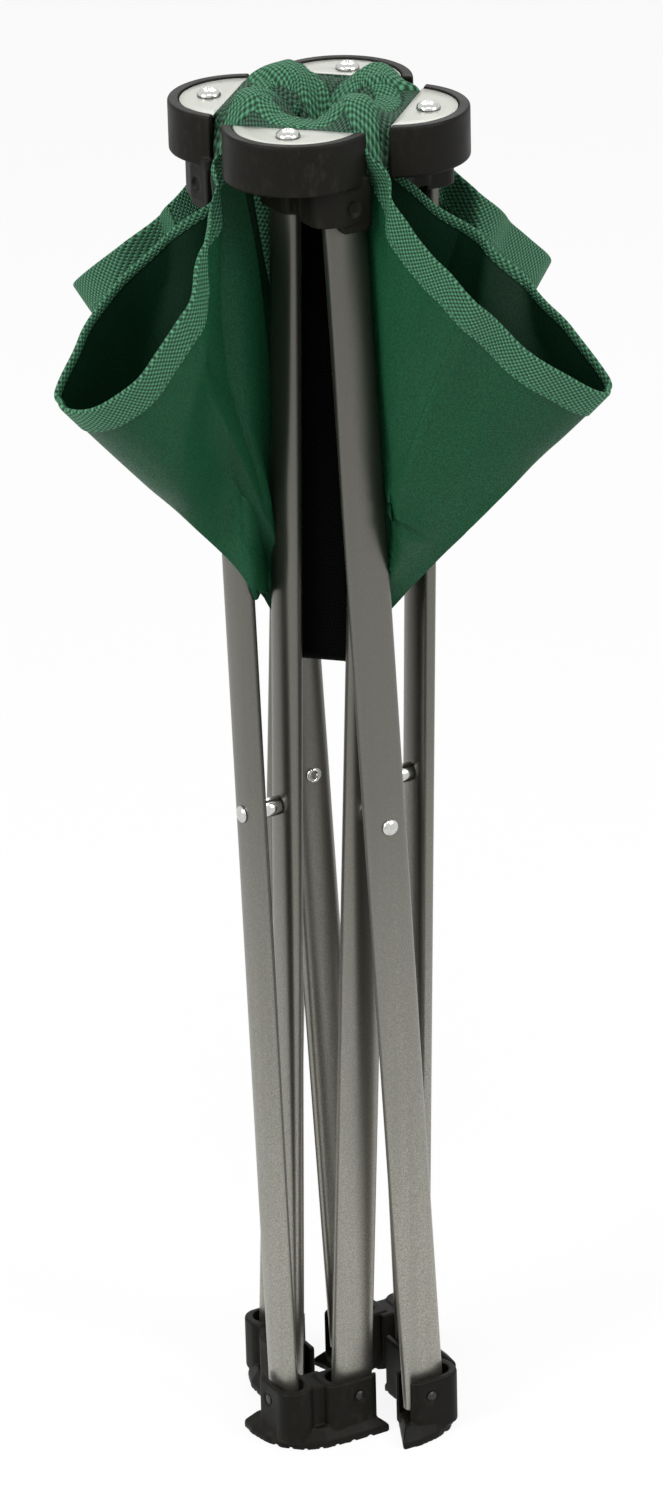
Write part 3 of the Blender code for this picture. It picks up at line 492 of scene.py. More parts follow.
def bright_steel():
    """Plated steel of the screws and rivets, with a faint cloudiness."""
    n = Nodes("bright_steel", colours().bright, 0.15, 1.0)
    cloud = n.noise(700, 2)
    tone = n.mix(n.span(cloud, 0.4, 0.7), n.shade(1.0), n.shade(0.85))
    return n.finish(tone, Normal=n.bump(cloud, 0.00002, 0.3), Roughness=n.span(cloud, 0.3, 0.7, 0.10, 0.22))


def dark_pin():
    """Blackened steel of the hub pins."""
    n = Nodes("dark_pin", None, 0.42, 0.8)
    cloud = n.noise(900, 2)
    return n.finish(n.mix(n.span(cloud, 0.35, 0.7), (0.035, 0.034, 0.033, 1), (0.06, 0.058, 0.055, 1)))


MADE_FINISHES = {}


def finish_of(name):
    """The finish of that name, made once."""
    makers = {
        "satin": satin_cloth, "tape": tape_cloth, "webbing": strap_webbing, "tube": tube_coat,
        "plastic": moulded_plastic, "plate": brushed_plate, "bright": bright_steel, "pin": dark_pin,
        # The bunched cloth between the plates: the tape darkened to 0.42, painted shade in its deep bowl
        "bowl": lambda: tape_cloth("corner_weave", 0.42),
        # The lobes' inside faces: the satin darkened near the hem as painted shade
        "lining": lambda: satin_cloth("satin_lining", 0.30)}
    if name not in MADE_FINISHES:
        MADE_FINISHES[name] = makers[name]()
    return MADE_FINISHES[name]


# Tubes and fasteners

def stadium(wide, thick):
    """Points of a flat oval: two half circles of the thickness joined by straight sides."""
    radius, reach = thick / 2, (wide - thick) / 2
    side = np.linspace(-math.pi / 2, math.pi / 2, 15)
    flat = np.linspace(1, -1, 7)[1:-1] * reach
    right = np.stack([reach + radius * np.cos(side), radius * np.sin(side)], -1)
    top = np.stack([flat, np.full_like(flat, radius)], -1)
    return np.concatenate([right, top, -right, -top])


def crowned_oval(wide, thick):
    """Points of a flat oval with crowned faces: |x / a| ^ 2.5 + |y / b| ^ 2.5 = 1."""
    angle = np.linspace(0, 2 * math.pi, 56, endpoint=False)
    return np.stack([np.sign(way) * np.abs(way) ** 0.8 * size / 2
                     for way, size in ((np.cos(angle), wide), (np.sin(angle), thick))], -1)


def leg_tube(name, plane, lean):
    """A flat oval tube of side 0 with rounded rims, leaning to -Y at its upper end if lean is -1.

    Each ring is the section shrunk by a depth, at one height; the rings run up the outside,
    over the rim, down the bore and back over the lower rim.
    """
    s = sizes()
    half, soft = PIN_SPAN / 2 + TUBE_END, 0.00025
    heights = np.linspace(-half + soft, half - soft, 14)
    rings = [(0.0, z) for z in heights]
    rings += [(soft * 0.3, half - soft * 0.3), (soft, half), (s.tube_wall - soft, half)]
    rings += [(s.tube_wall, z) for z in heights[::-1]]
    rings += [(s.tube_wall - soft, -half), (soft, -half), (soft * 0.3, -half + soft * 0.3)]
    turn = np.array(Matrix.Rotation(-lean * REST_TURN, 3, "X"))
    points = []
    for depth, z in rings:
        outline = crowned_oval(s.tube_wide - 2 * depth, s.tube_thick - 2 * depth)
        points.append(np.column_stack([outline[:, 1], outline[:, 0], np.full(len(outline), z)]))
    return ringed(name, np.array(points) @ turn.T + np.array((plane, 0, RIVET_Z)), "tube")


class STOOL_OT_tubes(bpy.types.Operator):
    """Make the eight leg tubes"""

    bl_idname = "stool.tubes"
    bl_label = "Leg tubes"

    def execute(self, context):
        for kind, plane, lean in (("outer", OUTER_PLANE, -1), ("inner", INNER_PLANE, 1)):
            for k, made in enumerate(four(leg_tube(f"leg_{kind}_0", plane, lean))):
                place(made, f"{kind}_{k}", "tube", f"tube_{kind}_{k}")
        return {"FINISHED"}


def dome(radius, height, count, soft):
    """Profile of a low dome, from its middle to its rim, whose edge is soft times its height."""
    angle = np.linspace(0, math.pi / 2, count)
    return np.column_stack([radius * np.sin(angle), height * (soft + (1 - soft) * np.cos(angle))])


def rivet_piece(name):
    """The shouldered rivet of side 0, from its domed head to its rolled hollow tail."""
    thick = sizes().tube_thick
    shaft, head_r, collar, bevel, play = 0.0021, 0.0032, 0.0036, 0.0002, 0.0001
    inside = INNER_PLANE - thick / 2 - play
    grip = OUTER_PLANE + thick / 2 + play - inside
    head = dome(head_r, 0.0018, 12, 0.12)
    head[:, 1] += grip
    low, high = thick + 0.0004, grip - thick - 0.0004
    neck = [(head_r, grip), (shaft, grip), (shaft, high), (collar - bevel, high), (collar, high - bevel),
            (collar, low + bevel), (collar - bevel, low), (shaft, low), (shaft, 0)]
    roll = np.linspace(0, math.pi, 9)
    tail = np.column_stack([0.0022 + 0.0008 * np.cos(roll), -0.0003 - 0.0009 * np.sin(roll)])
    bore = [(0.0012, -0.0001), (0.0011, 0.0030), (0.0, 0.0032)]
    profile = np.concatenate([head, neck, [(0.0030, 0.0)], tail, bore])
    return turned_piece(name, profile, (inside, 0, RIVET_Z), (1, 0, 0), "bright", 36)


def cross_recess(radius, angle):
    """Depth of a cross recess: two crossing slots whose walls slope, deepest in the middle."""
    x, y = np.abs(radius * np.cos(angle)), np.abs(radius * np.sin(angle))
    arms = [smooth_step(-across, -0.00062, -0.00038) * smooth_step(-along, -0.0021, -0.0015)
            for across, along in ((x, y), (y, x))]
    middle = smooth_step(-radius, -0.0012, -0.0003)
    return 0.0009 * np.maximum(*arms) * (0.6 + 0.8 * middle) + 0.0003 * middle


def screw_piece(name):
    """The domed cross-head screw of corner 0, on its plate.

    Its top falls as a parabola over the recess's field, and as a blunt ellipse outside it.
    """
    field, crown, radius, rise = 0.0024, 0.0024, 0.0043, 0.0008
    fine = np.linspace(0.0, field, 22)[:-1]
    top = np.column_stack([fine, crown - (crown - rise) * (fine / radius) ** 2])
    rim = np.linspace(field, radius, 10)
    fall = np.sqrt(np.maximum(0, 1 - (rim / radius) ** 2.2))
    rim = np.column_stack([rim, rise * 0.3 + (crown - rise * 0.3) * fall])
    top[:, 1] += rim[0, 1] - (crown - (crown - rise) * (field / radius) ** 2)
    below = [(radius, 0.0), (0.0017, 0.0), (0.0017, -0.0115), (0.0, -0.0120)]
    return turned_piece(
        name, np.concatenate([top, rim, below]), corner_frame(SCREW_U, 0, PLATE_TOP + 0.0001), (0, 0, 1),
        "bright", 72, lambda r, a: np.where(r < field - 0.00005, cross_recess(r, a + 0.5), 0))


def plate_piece(name):
    """The clamp plate of corner 0: a disc's slice around its screw hole, with soft edges.

    Seen from the hole's middle, its edge lies at the nearer of the circle and the straight
    chord. Rings between hole and edge are carried up and over both faces.
    """
    radius, hole, thick, soft = 0.0222, 0.0020, 0.0012, 0.00022
    corner = math.sqrt(radius ** 2 - (CHORD_U - DISC_U) ** 2)
    end = math.atan2(corner, CHORD_U - SCREW_U)
    angle = np.sort(np.concatenate([np.linspace(-math.pi, math.pi, 120, endpoint=False), (end, -end)]))
    way = np.stack([np.cos(angle), np.sin(angle)], -1)
    shift = SCREW_U - DISC_U
    to_circle = -shift * way[:, 0] + np.sqrt(radius ** 2 - (shift * way[:, 1]) ** 2)
    to_chord = np.where(way[:, 0] < -1e-6, (CHORD_U - SCREW_U) / np.minimum(way[:, 0], -1e-6), 1.0)
    edge = np.minimum(to_circle, to_chord)
    rings = [(1, 0.0, thick - soft), (1, soft * 0.3, thick - soft * 0.3), (1, soft, thick)]
    rings += [(0.66, 0, thick), (0.33, 0, thick), (0, soft, thick), (0, 0.0, thick - soft)]
    rings += [(0, 0.0, soft), (0, soft, 0), (0.5, 0, 0), (1, soft, 0.0), (1, 0.0, soft)]
    points = []
    for share, depth, height in rings:
        flat = way * (hole + (edge - hole) * share + (-depth if share == 1 else depth))[:, None]
        points.append(corner_frame(SCREW_U + flat[:, 0], flat[:, 1], PLATE_TOP - thick + height))
    made = ringed(name, np.array(points), "plate")
    made.data.set_sharp_from_angle(angle=math.radians(50))
    return made


def hub_pin(name, spot, way):
    """A hub's cross pin with bevelled ends, from its middle."""
    half, radius, bevel = sizes().tube_thick / 2 + 0.0033, 0.0020, 0.0003
    end = [(0.0, half), (radius - bevel, half), (radius, half - bevel)]
    return turned_piece(name, end + [(r, -z) for r, z in end[::-1]], spot, way, "pin", 28)


class STOOL_OT_fasteners(bpy.types.Operator):
    """Make the rivets, screws, clamp plates and hub pins"""

    bl_idname = "stool.fasteners"
    bl_label = "Fasteners and plates"

    def execute(self, context):
        for first, body, slot, node in (
                (rivet_piece("rivet_bright_0"), "outer", "bright", "rivet"),
                (screw_piece("screw_bright_0"), "hub", "bright", "plate_screw"),
                (plate_piece("plate_bright_0"), "hub", "plate", "clamp_plate"),
                (hub_pin("pin_outer_0", (OUTER_PLANE, -REST_SHIFT, HUB_PIN_Z), (1, 0, 0)),
                 "hub", "bright", "hub_pin_outer"),
                (hub_pin("pin_inner_0", (REST_SHIFT, -INNER_PLANE, HUB_PIN_Z), (0, 1, 0)),
                 "hub", "bright", "hub_pin_inner")):
            for k, made in enumerate(four(first)):
                place(made, f"{body}_{k}", slot, f"{node}_{k}")
        return {"FINISHED"}


# Moulded hubs and feet

def rounded(outline, radii, count=7):
    """A polygon's corners rounded: each arc touches both sides at radius / tan(half its angle)."""
    outline = np.asarray(outline, float)
    radii = np.broadcast_to(radii, len(outline))
    made = []
    for k, corner in enumerate(outline):
        before, after = unit(outline[k - 1] - corner), unit(outline[(k + 1) % len(outline)] - corner)
        half = math.acos(np.clip(before @ after, -1, 1)) / 2
        reach = radii[k] / math.tan(half)
        middle = corner + unit(before + after) * radii[k] / math.sin(half)
        first, last = corner + before * reach - middle, corner + after * reach - middle
        turn = math.atan2(first[0] * last[1] - first[1] * last[0], first @ last)
        for share in np.linspace(0, 1, count):
            c, w = math.cos(turn * share), math.sin(turn * share)
            made.append(middle + (c * first[0] - w * first[1], w * first[0] + c * first[1]))
    return np.array(made)


def inset(outline, depth):
    """An outline moved inwards along its corners' mean normals."""
    step = np.roll(outline, -1, 0) - np.roll(outline, 1, 0)
    step /= np.linalg.norm(step, axis=-1, keepdims=True)
    area = np.sum(outline[:, 0] * np.roll(outline[:, 1], -1) - outline[:, 1] * np.roll(outline[:, 0], -1))
    return outline + math.copysign(depth, area) * np.stack([-step[:, 1], step[:, 0]], -1)


def stack(rings, turn=None):
    """A closed body through rings of as many points (outline (n, 2), height), capped at both ends.

    turn, a 3 x 3 matrix as rows, takes (x, y, height) to the stool's axes.
    """
    points = np.concatenate([np.column_stack([outline, np.full(len(outline), z)]) for outline, z in rings])
    if turn is not None:
        points = points @ np.asarray(turn, float)
    count = len(rings[0][0])
    faces = grid_faces(len(rings), count, wrap_columns=True).tolist()
    faces += [list(range(count))[::-1], list(range(len(points) - count, len(points)))]
    mesh = bpy.data.meshes.new("stack")
    mesh.from_pydata(points.tolist(), [], faces)
    return face_outwards(link("stack", mesh))


def block(outline, low, high, soft):
    """An upright block with its top edge rounded by a quarter of an ellipse."""
    angle = np.linspace(0, math.pi / 2, 4)
    top = [(inset(outline, soft * (1 - math.cos(a))), high - soft * (1 - math.sin(a))) for a in angle]
    return stack([(outline, low), *top])


def rectangle(x0, x1, y0, y1):
    return [(x0, y0), (x1, y0), (x1, y1), (x0, y1)]


def rod(start, way, radius, length, name="rod", finish="plastic"):
    """A round rod from a point along a way."""
    ends = [(0, 0), (radius, 0), (radius, length), (0, length)]
    return turned_piece(name, ends, start, way, finish, 32)


def carved(name, first, added, taken):
    """The first body with others added and others taken away, its edges softened.

    Its skin is remeshed to even small faces and each point then drawn to its neighbours' mean.
    """
    for operation, tools in (("UNION", added), ("DIFFERENCE", taken)):
        for tool in tools:
            made = first.modifiers.new(operation.lower(), "BOOLEAN")
            made.operation = operation
            made.solver = "EXACT"
            made.object = tool
    fine = first.modifiers.new("fine", "REMESH")
    fine.mode = "VOXEL"
    fine.voxel_size = SKIN
    soft = first.modifiers.new("soft", "SMOOTH")
    soft.iterations = SKIN_PASSES
    soft.factor = 0.5
    bpy.context.view_layer.update()
    seen = first.evaluated_get(bpy.context.evaluated_depsgraph_get())
    mesh = bpy.data.meshes.new_from_object(seen)
    for tool in (first, *added, *taken):
        bpy.data.objects.remove(tool)
    mesh.name = name
    mesh.materials.clear()
    mesh.materials.append(finish_of("plastic"))
    mesh.polygons.foreach_set("use_smooth", np.ones(len(mesh.polygons), bool))
    return link(name, mesh)


# The sockets' measures: half of the slot's width, reach of a tube's end, wall beside and past
# it, and how far the slot opens for the tube's swing
SLOT, SWING, CHEEK, SWING_ROOM = 0.00415, 0.01074, 0.0029, 0.030
SEAT_HALF = SLOT + CHEEK
SEAT_REACH = SWING + CHEEK
SKIN, SKIN_PASSES = 0.00040, 5      # size of the skin's faces, and rounds of softening


def seat_tools(plane, along, spare, oval_span, room_span):
    """Two bodies that carve a tube's seat: the tube's oval, and the room for its swing.

    along is 0 for a slot that opens along -X and 1 for one along +Y; the spans are heights.
    """
    oval = stadium(2 * SWING, 2 * SLOT + spare)
    if along:
        oval, spot, room = oval[:, ::-1], (plane, -REST_SHIFT), rectangle(-SLOT, SLOT, 0.0, SWING_ROOM)
    else:
        spot, room = (REST_SHIFT, -plane), rectangle(-SWING_ROOM, 0.0, -SLOT, SLOT)
    return [stack([(np.array(outline) + spot, z) for z in span])
            for outline, span in ((oval, oval_span), (room, room_span))]


def seat_block(x0, x1, y0, y1, radii, low, high, soft):
    """An upright block over a rectangle with rounded corners."""
    return block(rounded(rectangle(x0, x1, y0, y1), radii), low, high, soft)


def pin_ends(spots, depth, radius, length, *name_and_finish):
    """A short rod at each pin's end, starting a little below the surface there."""
    return [rod(np.array(spot) - np.array(way) * depth, way, radius, length, *name_and_finish)
            for spot, way in spots]


def foot_body(name):
    """The foot of corner 0: two rounded sockets joined by a web, on a flared, treaded sole.

    The sole's outline shrinks towards the sockets as it rises, which gives its sloping top.
    Gives the foot and its two pins' ends.
    """
    low, high = 0.0030, 0.0245
    outer = seat_block(0.0030, REST_SHIFT + SEAT_REACH, -OUTER_PLANE - SEAT_HALF, -OUTER_PLANE + SEAT_HALF,
                       (0.003, 0.0060, 0.0050, 0.0015), low, high, 0.0008)
    inner = seat_block(INNER_PLANE - SEAT_HALF, INNER_PLANE + SEAT_HALF, -REST_SHIFT - SEAT_REACH, -0.0030,
                       (0.0015, 0.0040, 0.0035, 0.0015), low, high, 0.0008)
    web = seat_block(REST_SHIFT, INNER_PLANE + SEAT_HALF - 0.0042,
                     -OUTER_PLANE + SEAT_HALF - 0.0040, -REST_SHIFT - SEAT_REACH + 0.004,
                     0.0008, low, high - 0.0006, 0.0003)
    rim = rounded([
        (0.0050, -0.02745), (-0.0035, -0.0455), (0.0040, -0.0462), (0.0125, -0.0447), (0.0195, -0.0415),
        (0.0259, -0.0350), (0.0290, -0.0270), (0.0297, -0.0170), (0.0300, -0.0080), (0.0300, 0.0000),
        (0.0240, -0.0018), (0.01335, -0.0022), (0.01335, -0.0180), (0.0103, -0.0250)], 0.0007, 4)
    middle = np.array((0.0140, -0.0255))
    sole = stack([(rim, 0.0), (rim, 0.0022), *((middle + (rim - middle) * share, z) for share, z in (
        (0.985, 0.0030), (0.80, 0.0070), (0.76, 0.0074)))])
    taken = []
    for plane, along in ((OUTER_PLANE, 0), (INNER_PLANE, 1)):
        taken += seat_tools(plane, along, 0.0012, (0.0068, 0.030), (FOOT_PIN_Z, 0.040))
    # The tread: grooves across the sole, along the line between its two ends
    along, across = unit(np.array((0.0335, 0.0455, 0))), unit(np.array((0.0455, -0.0335, 0)))
    start, pitch, half = np.array((0.0310, -0.0310, 0)) / math.sqrt(2), 0.0058, 0.03
    for k in range(7):
        groove = start + along * (k - 3.4) * pitch
        taken.append(rod(groove - across * half, tuple(across), 0.0007, 2 * half))
    spots = (((REST_SHIFT, -OUTER_PLANE - SEAT_HALF, FOOT_PIN_Z), (0, -1, 0)),
             ((INNER_PLANE + SEAT_HALF, -REST_SHIFT, FOOT_PIN_Z), (1, 0, 0)))
    taken += pin_ends(spots, 0.0005, 0.0030, 0.002)
    pins = [pin_ends([spot], 0.0004, 0.0019, 0.0003, f"foot_pin_{kind}_0", "pin")[0]
            for spot, kind in zip(spots, ("outer", "inner"))]
    return carved(name, outer, [inner, web, sole], taken), pins


def hub_body(name):
    """The hub of corner 0: a round-backed cap on rounded tube seats, one with a hanging ear."""
    back = CHORD_U + 0.0002
    low, top = HUB_PIN_Z - 0.0088, HUB_PIN_Z + 0.0075

    def slice_of(radius, edge):
        start = math.asin((edge - DISC_U) / radius)
        angle = np.linspace(math.pi / 2 - start, start - math.pi / 2, 60)
        return corner_frame(DISC_U + radius * np.cos(angle), radius * np.sin(angle), 0.0)[:, :2]

    cap, soft = slice_of(0.0264, back), 0.0008
    cap_rings = [(inset(cap, 0.0004), top + 0.0001), (inset(cap, 0.0003), top + 0.0003), (cap, top + 0.0005)]
    cap_rings += [(inset(cap, soft * (1 - math.cos(a))), top + 0.0185 - soft * (1 - math.sin(a)))
                  for a in np.linspace(0, math.pi / 2, 4)]
    face = OUTER_PLANE + SEAT_HALF
    outer = block(rounded(
        [(OUTER_PLANE - SEAT_HALF, -REST_SHIFT - SEAT_REACH), (face - 0.0012, -REST_SHIFT - SEAT_REACH),
         (face + 0.0012, -0.0150), (face + 0.0004, -0.0037), (OUTER_PLANE - SEAT_HALF, -0.0037)],
        (0.0015, 0.0060, 0.0040, 0.0020, 0.0015)), low + 0.0030, top + 0.003, 0.0001)
    inner = seat_block(0.0037, REST_SHIFT + SEAT_REACH, -INNER_PLANE - SEAT_HALF, -INNER_PLANE + SEAT_HALF,
                       (0.0030, 0.0066, 0.0066, 0.0015), low + 0.0036, top + 0.003, 0.0001)
    web = seat_block(REST_SHIFT, OUTER_PLANE - SEAT_HALF + 0.002, -INNER_PLANE - SEAT_HALF + 0.002, -0.0077,
                     0.0010, low + 0.0050, top + 0.003, 0.0001)
    ear = rounded([(-0.0178, low + 0.0040), (-0.0150, low), (-0.0060, low), (-0.0040, low + 0.0022),
                   (-0.0040, top), (-0.0178, top)], 0.0010)
    ear = stack([(ear, x) for x in (face - CHEEK, face + 0.0003, face + 0.0006)],
                ((0, 1, 0), (0, 0, 1), (1, 0, 0)))
    taken = [stack([(slice_of(0.0225, back - 0.004), z) for z in (0.516465, 0.530)])]
    for plane, along, start, way in (
            (OUTER_PLANE, 1, (OUTER_PLANE - SLOT, -REST_SHIFT, HUB_PIN_Z), (1, 0, 0)),
            (INNER_PLANE, 0, (REST_SHIFT, -INNER_PLANE - SLOT, HUB_PIN_Z), (0, 1, 0))):
        oval, room = seat_tools(
            plane, along, 0.0004, (HUB_PIN_Z - 0.02, HUB_PIN_Z + 0.0070), (HUB_PIN_Z - 0.02, HUB_PIN_Z))
        taken += [oval, rod(start, way, SWING, 2 * SLOT), room]
    way_out = np.array(rectangle(-0.020, 0.01355, -0.030, 0.030))
    taken.append(stack([(corner_frame(way_out[:, 0], way_out[:, 1], 0.0)[:, :2], z) for z in (0.480, 0.515)]))
    taken += pin_ends((((face + 0.0006, -REST_SHIFT, HUB_PIN_Z), (1, 0, 0)),
                       ((REST_SHIFT, -INNER_PLANE - SEAT_HALF, HUB_PIN_Z), (0, -1, 0))),
                      0.0005, 0.0026, 0.003)
    taken.append(rod(tuple(corner_frame(SCREW_U, 0, 0.500)), (0, 0, 1), 0.0020, 0.03))
    return carved(name, stack(cap_rings), [outer, inner, web, ear], taken)


class STOOL_OT_mouldings(bpy.types.Operator):
    """Make the plastic hubs and feet"""

    bl_idname = "stool.mouldings"
    bl_label = "Hubs and feet"

    def execute(self, context):
        foot, pins = foot_body("foot_moulded_0")
        for kind, first in (("hub", hub_body("hub_moulded_0")), ("foot", foot)):
            for k, made in enumerate(four(first)):
                place(made, f"{kind}_{k}", "plastic", f"{kind}_{k}")
        for pin in pins:
            for k, made in enumerate(four(pin)):
                place(made, f"foot_{k}", "plastic")
        return {"FINISHED"}


# Seat cloth

def ray(lean, turn):
    """Unit way from the seat's middle, from its lean off +Z and its turn off +X."""
    return np.array((math.sin(lean) * math.cos(turn), math.sin(lean) * math.sin(turn), math.cos(lean)))


def crease_angle(side, layer):
    """The flat angle at the seat's middle between a wall's crease and the hem's middle."""
    share = LOBES[side][2 if layer < 0 else 3][1]
    return math.atan2(share * HEM_HALF, MIDDLE_RAY)


def wall_rays(side, layer):
    """The rays of a lobe's wall in side 0's frame: upper edge, wall crease, lower crease.

    The wall's crease is the ray, on the wall's own side, whose angles to the other two are
    those that the flat cloth has there.
    """
    lean, turn = (math.radians(angle) for angle in LOBES[side][:2])
    tilt = math.radians(LOBES[side][2 if layer < 0 else 3][0])
    ring, lower = ray(tilt, 0.0), ray(lean, turn)
    between = float(ring @ lower)
    flat = crease_angle(side, layer)
    to_ring, to_lower = math.cos(CORNER_ANGLE - flat), math.cos(flat)
    a = (to_ring - to_lower * between) / (1 - between ** 2)
    b = (to_lower - to_ring * between) / (1 - between ** 2)
    rest = math.sqrt(max(0.0, 1 - a * a - b * b - 2 * a * b * between))
    normal = np.cross(ring, lower)
    normal *= layer * math.copysign(1.0, normal[1]) / np.linalg.norm(normal)
    return ring, a * ring + b * lower + rest * normal, lower


def squeeze_line(r, z):
    """How far along +Y the cloth passes between side 0's crossing tubes, at radius r and height z.

    One wave between the tubes' planes, as deep as the tubes overlap at that height.
    """
    lean = (z - RIVET_Z) * math.tan(REST_TURN)
    wave = np.maximum(0, sizes().tube_wide / 2 + 0.0023 - lean)
    phase = np.clip((r - INNER_PLANE) / (OUTER_PLANE - INNER_PLANE), -0.5, 1.5)
    return -wave * np.cos(math.pi * phase)


def nearest_root(error, steps, near):
    """Where error (..., steps) crosses 0, nearest to the value near, by straight lines."""
    first, second = error[..., :-1], error[..., 1:]
    crossing = first * second <= 0
    share = first / np.where(np.abs(first - second) < 1e-12, 1e-12, first - second)
    root = steps[:-1] + share * (steps[1] - steps[0])
    far = np.where(crossing, np.abs(root - near[..., None]), np.inf)
    pick = far.argmin(-1)[..., None]
    found = np.take_along_axis(root, pick, -1)[..., 0]
    least = steps[np.abs(error).argmin(-1)]
    return np.where(np.isfinite(far.min(-1)), found, least)


def swell(x, reach, slope):
    """Lift of a sheet that leaves x = 0 at a slope and lies flat at reach: slope x (1 - x/reach)^2."""
    share = np.clip(x / reach, 0, 1)
    return slope * reach * share * (1 - share) ** 2


def rim_draw(side, layer, share):
    """How far the hem is drawn at shares of its half: a cubic line through the table's values."""
    knots = np.array(RIM_SHARES)
    values = np.zeros((len(knots), 3))
    drawn = RIM_DRAWS.get((side, layer))
    if drawn is not None:
        values[:-1] = MM * np.array(drawn)
    slopes = np.gradient(values, knots, axis=0)
    i = np.clip(np.searchsorted(knots, share) - 1, 0, len(knots) - 2)
    wide = (knots[i + 1] - knots[i])[..., None]
    s = (share - knots[i])[..., None] / wide
    start, stop = (2 * s ** 3 - 3 * s ** 2 + 1) * values[i], (3 * s ** 2 - 2 * s ** 3) * values[i + 1]
    return start + stop + wide * ((s ** 3 - 2 * s ** 2 + s) * slopes[i] + (s ** 3 - s ** 2) * slopes[i + 1])


def panel_plane(side, layer, part):
    """A panel's plane: its first edge's ray, the way square to that, its normal, flat angles."""
    ring, wall, lower = wall_rays(side, layer)
    crease = crease_angle(side, layer)
    if part == "inner":
        first, second, low, high = wall, ring, crease, CORNER_ANGLE
    else:
        first, second, low, high = lower, wall, 0.0, crease
    aside = square_to(first, second)
    normal = np.cross(first, aside)
    normal *= layer * math.copysign(1.0, normal[1])
    return first, aside, normal, low, high


def panel_points(side, layer, part, across, down):
    """A lobe panel's surface before its edges are joined, in side 0's frame.

    across runs from 0 to 1 over the panel at the hem, and down is the distance from the hem.
    A flat point turns with the panel's plane, which hinges on rays through the seat's middle,
    and is lifted off it along the plane's normal: in the open by swells that grow with the
    distance from the seat's middle, and near the tubes to the line on which they squeeze it.
    Gives the points, how far each is held, its distance along the hem, and the plane's normal.
    """
    ring, wall, lower = wall_rays(side, layer)
    first, aside, normal, low, high = panel_plane(side, layer, part)
    bend = math.tan((math.pi - math.acos(square_to(wall, lower) @ square_to(wall, ring))) / 2)
    start, stop = math.tan(low) * MIDDLE_RAY, math.tan(high) * MIDDLE_RAY
    q = start + (stop - start) * across[None, :]
    t = 1 - down[:, None] / MIDDLE_RAY
    nose, nose_far, crease_far, outer_puff, inner_puff = SWELLS.get((side, layer), HIDDEN_SWELL)
    middle = np.sin(math.pi * across[None, :]) ** 2
    if part == "outer":
        lift = swell(q - start, nose_far * MM, nose)
        bent = np.sqrt(1 - (1 - np.clip(q / NOSE_R, 0, 1)) ** 2)
        lift = lift + NOSE_R * bent * (1 - smooth_step(q, 0.0, nose_far * MM))
        lift = lift + swell(stop - q, crease_far * MM, bend) + outer_puff * MM * middle
    else:
        lift = swell(q - start, crease_far * MM, bend) + inner_puff * MM * middle
    # A faint ripple, two waves with a phase of each wall's own
    phase = 2.1 * side + layer
    ripple = np.sin(260 * q + 9 * t + phase) * 0.5 + np.sin(150 * q - 14 * t + 2 * phase) * 0.6
    lift = t * (lift + 0.0005 * middle * ripple)
    turn = np.arctan2(q, MIDDLE_RAY) - low
    reach = (t * np.hypot(q, MIDDLE_RAY))[..., None]
    base = SEAT_MIDDLE + reach * (np.cos(turn)[..., None] * first + np.sin(turn)[..., None] * aside)
    # The tubes' line, each layer on its own side of it, further apart on the hubs' ledges
    steps = np.linspace(-LIFT_TRIED, LIFT_TRIED, 145)
    tried = base[..., None, :] + steps[:, None] * normal
    r, y, z = tried[..., 0], tried[..., 1], tried[..., 2]
    at_top = smooth_step(z, 0.500, 0.516) * smooth_step(r, 0.026, 0.036)
    line = squeeze_line(r, z) + layer * (0.00045 + 0.0052 * at_top)
    held_lift = np.clip(nearest_root(y - line, steps, lift), -LIFT_HELD, LIFT_HELD)
    free = base + lift[..., None] * normal
    # Free outside the tubes, and sooner high up, where they stand closer
    up = smooth_step(free[..., 2], 0.400, 0.470)
    held = 1 - smooth_step(free[..., 0], 0.0450, 0.0760 - 0.0200 * up)
    points = base + (held * held_lift + (1 - held) * lift)[..., None] * normal
    if len(across) > 2 and len(down) > 2:
        for _ in range(SMOOTHINGS):
            near = (points[:-2, 1:-1] + points[2:, 1:-1] + points[1:-1, :-2] + points[1:-1, 2:]) / 4
            share = (0.6 * np.clip(6 * held * (1 - held), 0, 1))[1:-1, 1:-1, None]
            points[1:-1, 1:-1] += share * (near - points[1:-1, 1:-1])
    drawn = smooth_step(t, 0.35, 1.0) * smooth_step(points[..., 0], 0.040, 0.054)
    points += drawn[..., None] * rim_draw(side, layer, q / HEM_HALF)
    return points, held, q * t, normal


def crease_line(side, layer, part, edge, down):
    """The line on which a panel's edge meets its neighbour's: midway between the two."""
    if part == "inner" or edge == 1:
        pair = ((layer, "inner", 0.0), (layer, "outer", 1.0))
    else:
        pair = ((-1, "outer", 0.0), (1, "outer", 0.0))
    ends = [panel_points(side, a, b, np.array((c,)), down)[0][:, 0] for a, b, c in pair]
    return (ends[0] + ends[1]) / 2


def grid_normals(points):
    """Unit normals of a grid of points, by the differences along and across it."""
    made = np.cross(np.gradient(points, axis=0), np.gradient(points, axis=1))
    return made / np.maximum(1e-12, np.linalg.norm(made, axis=-1, keepdims=True))


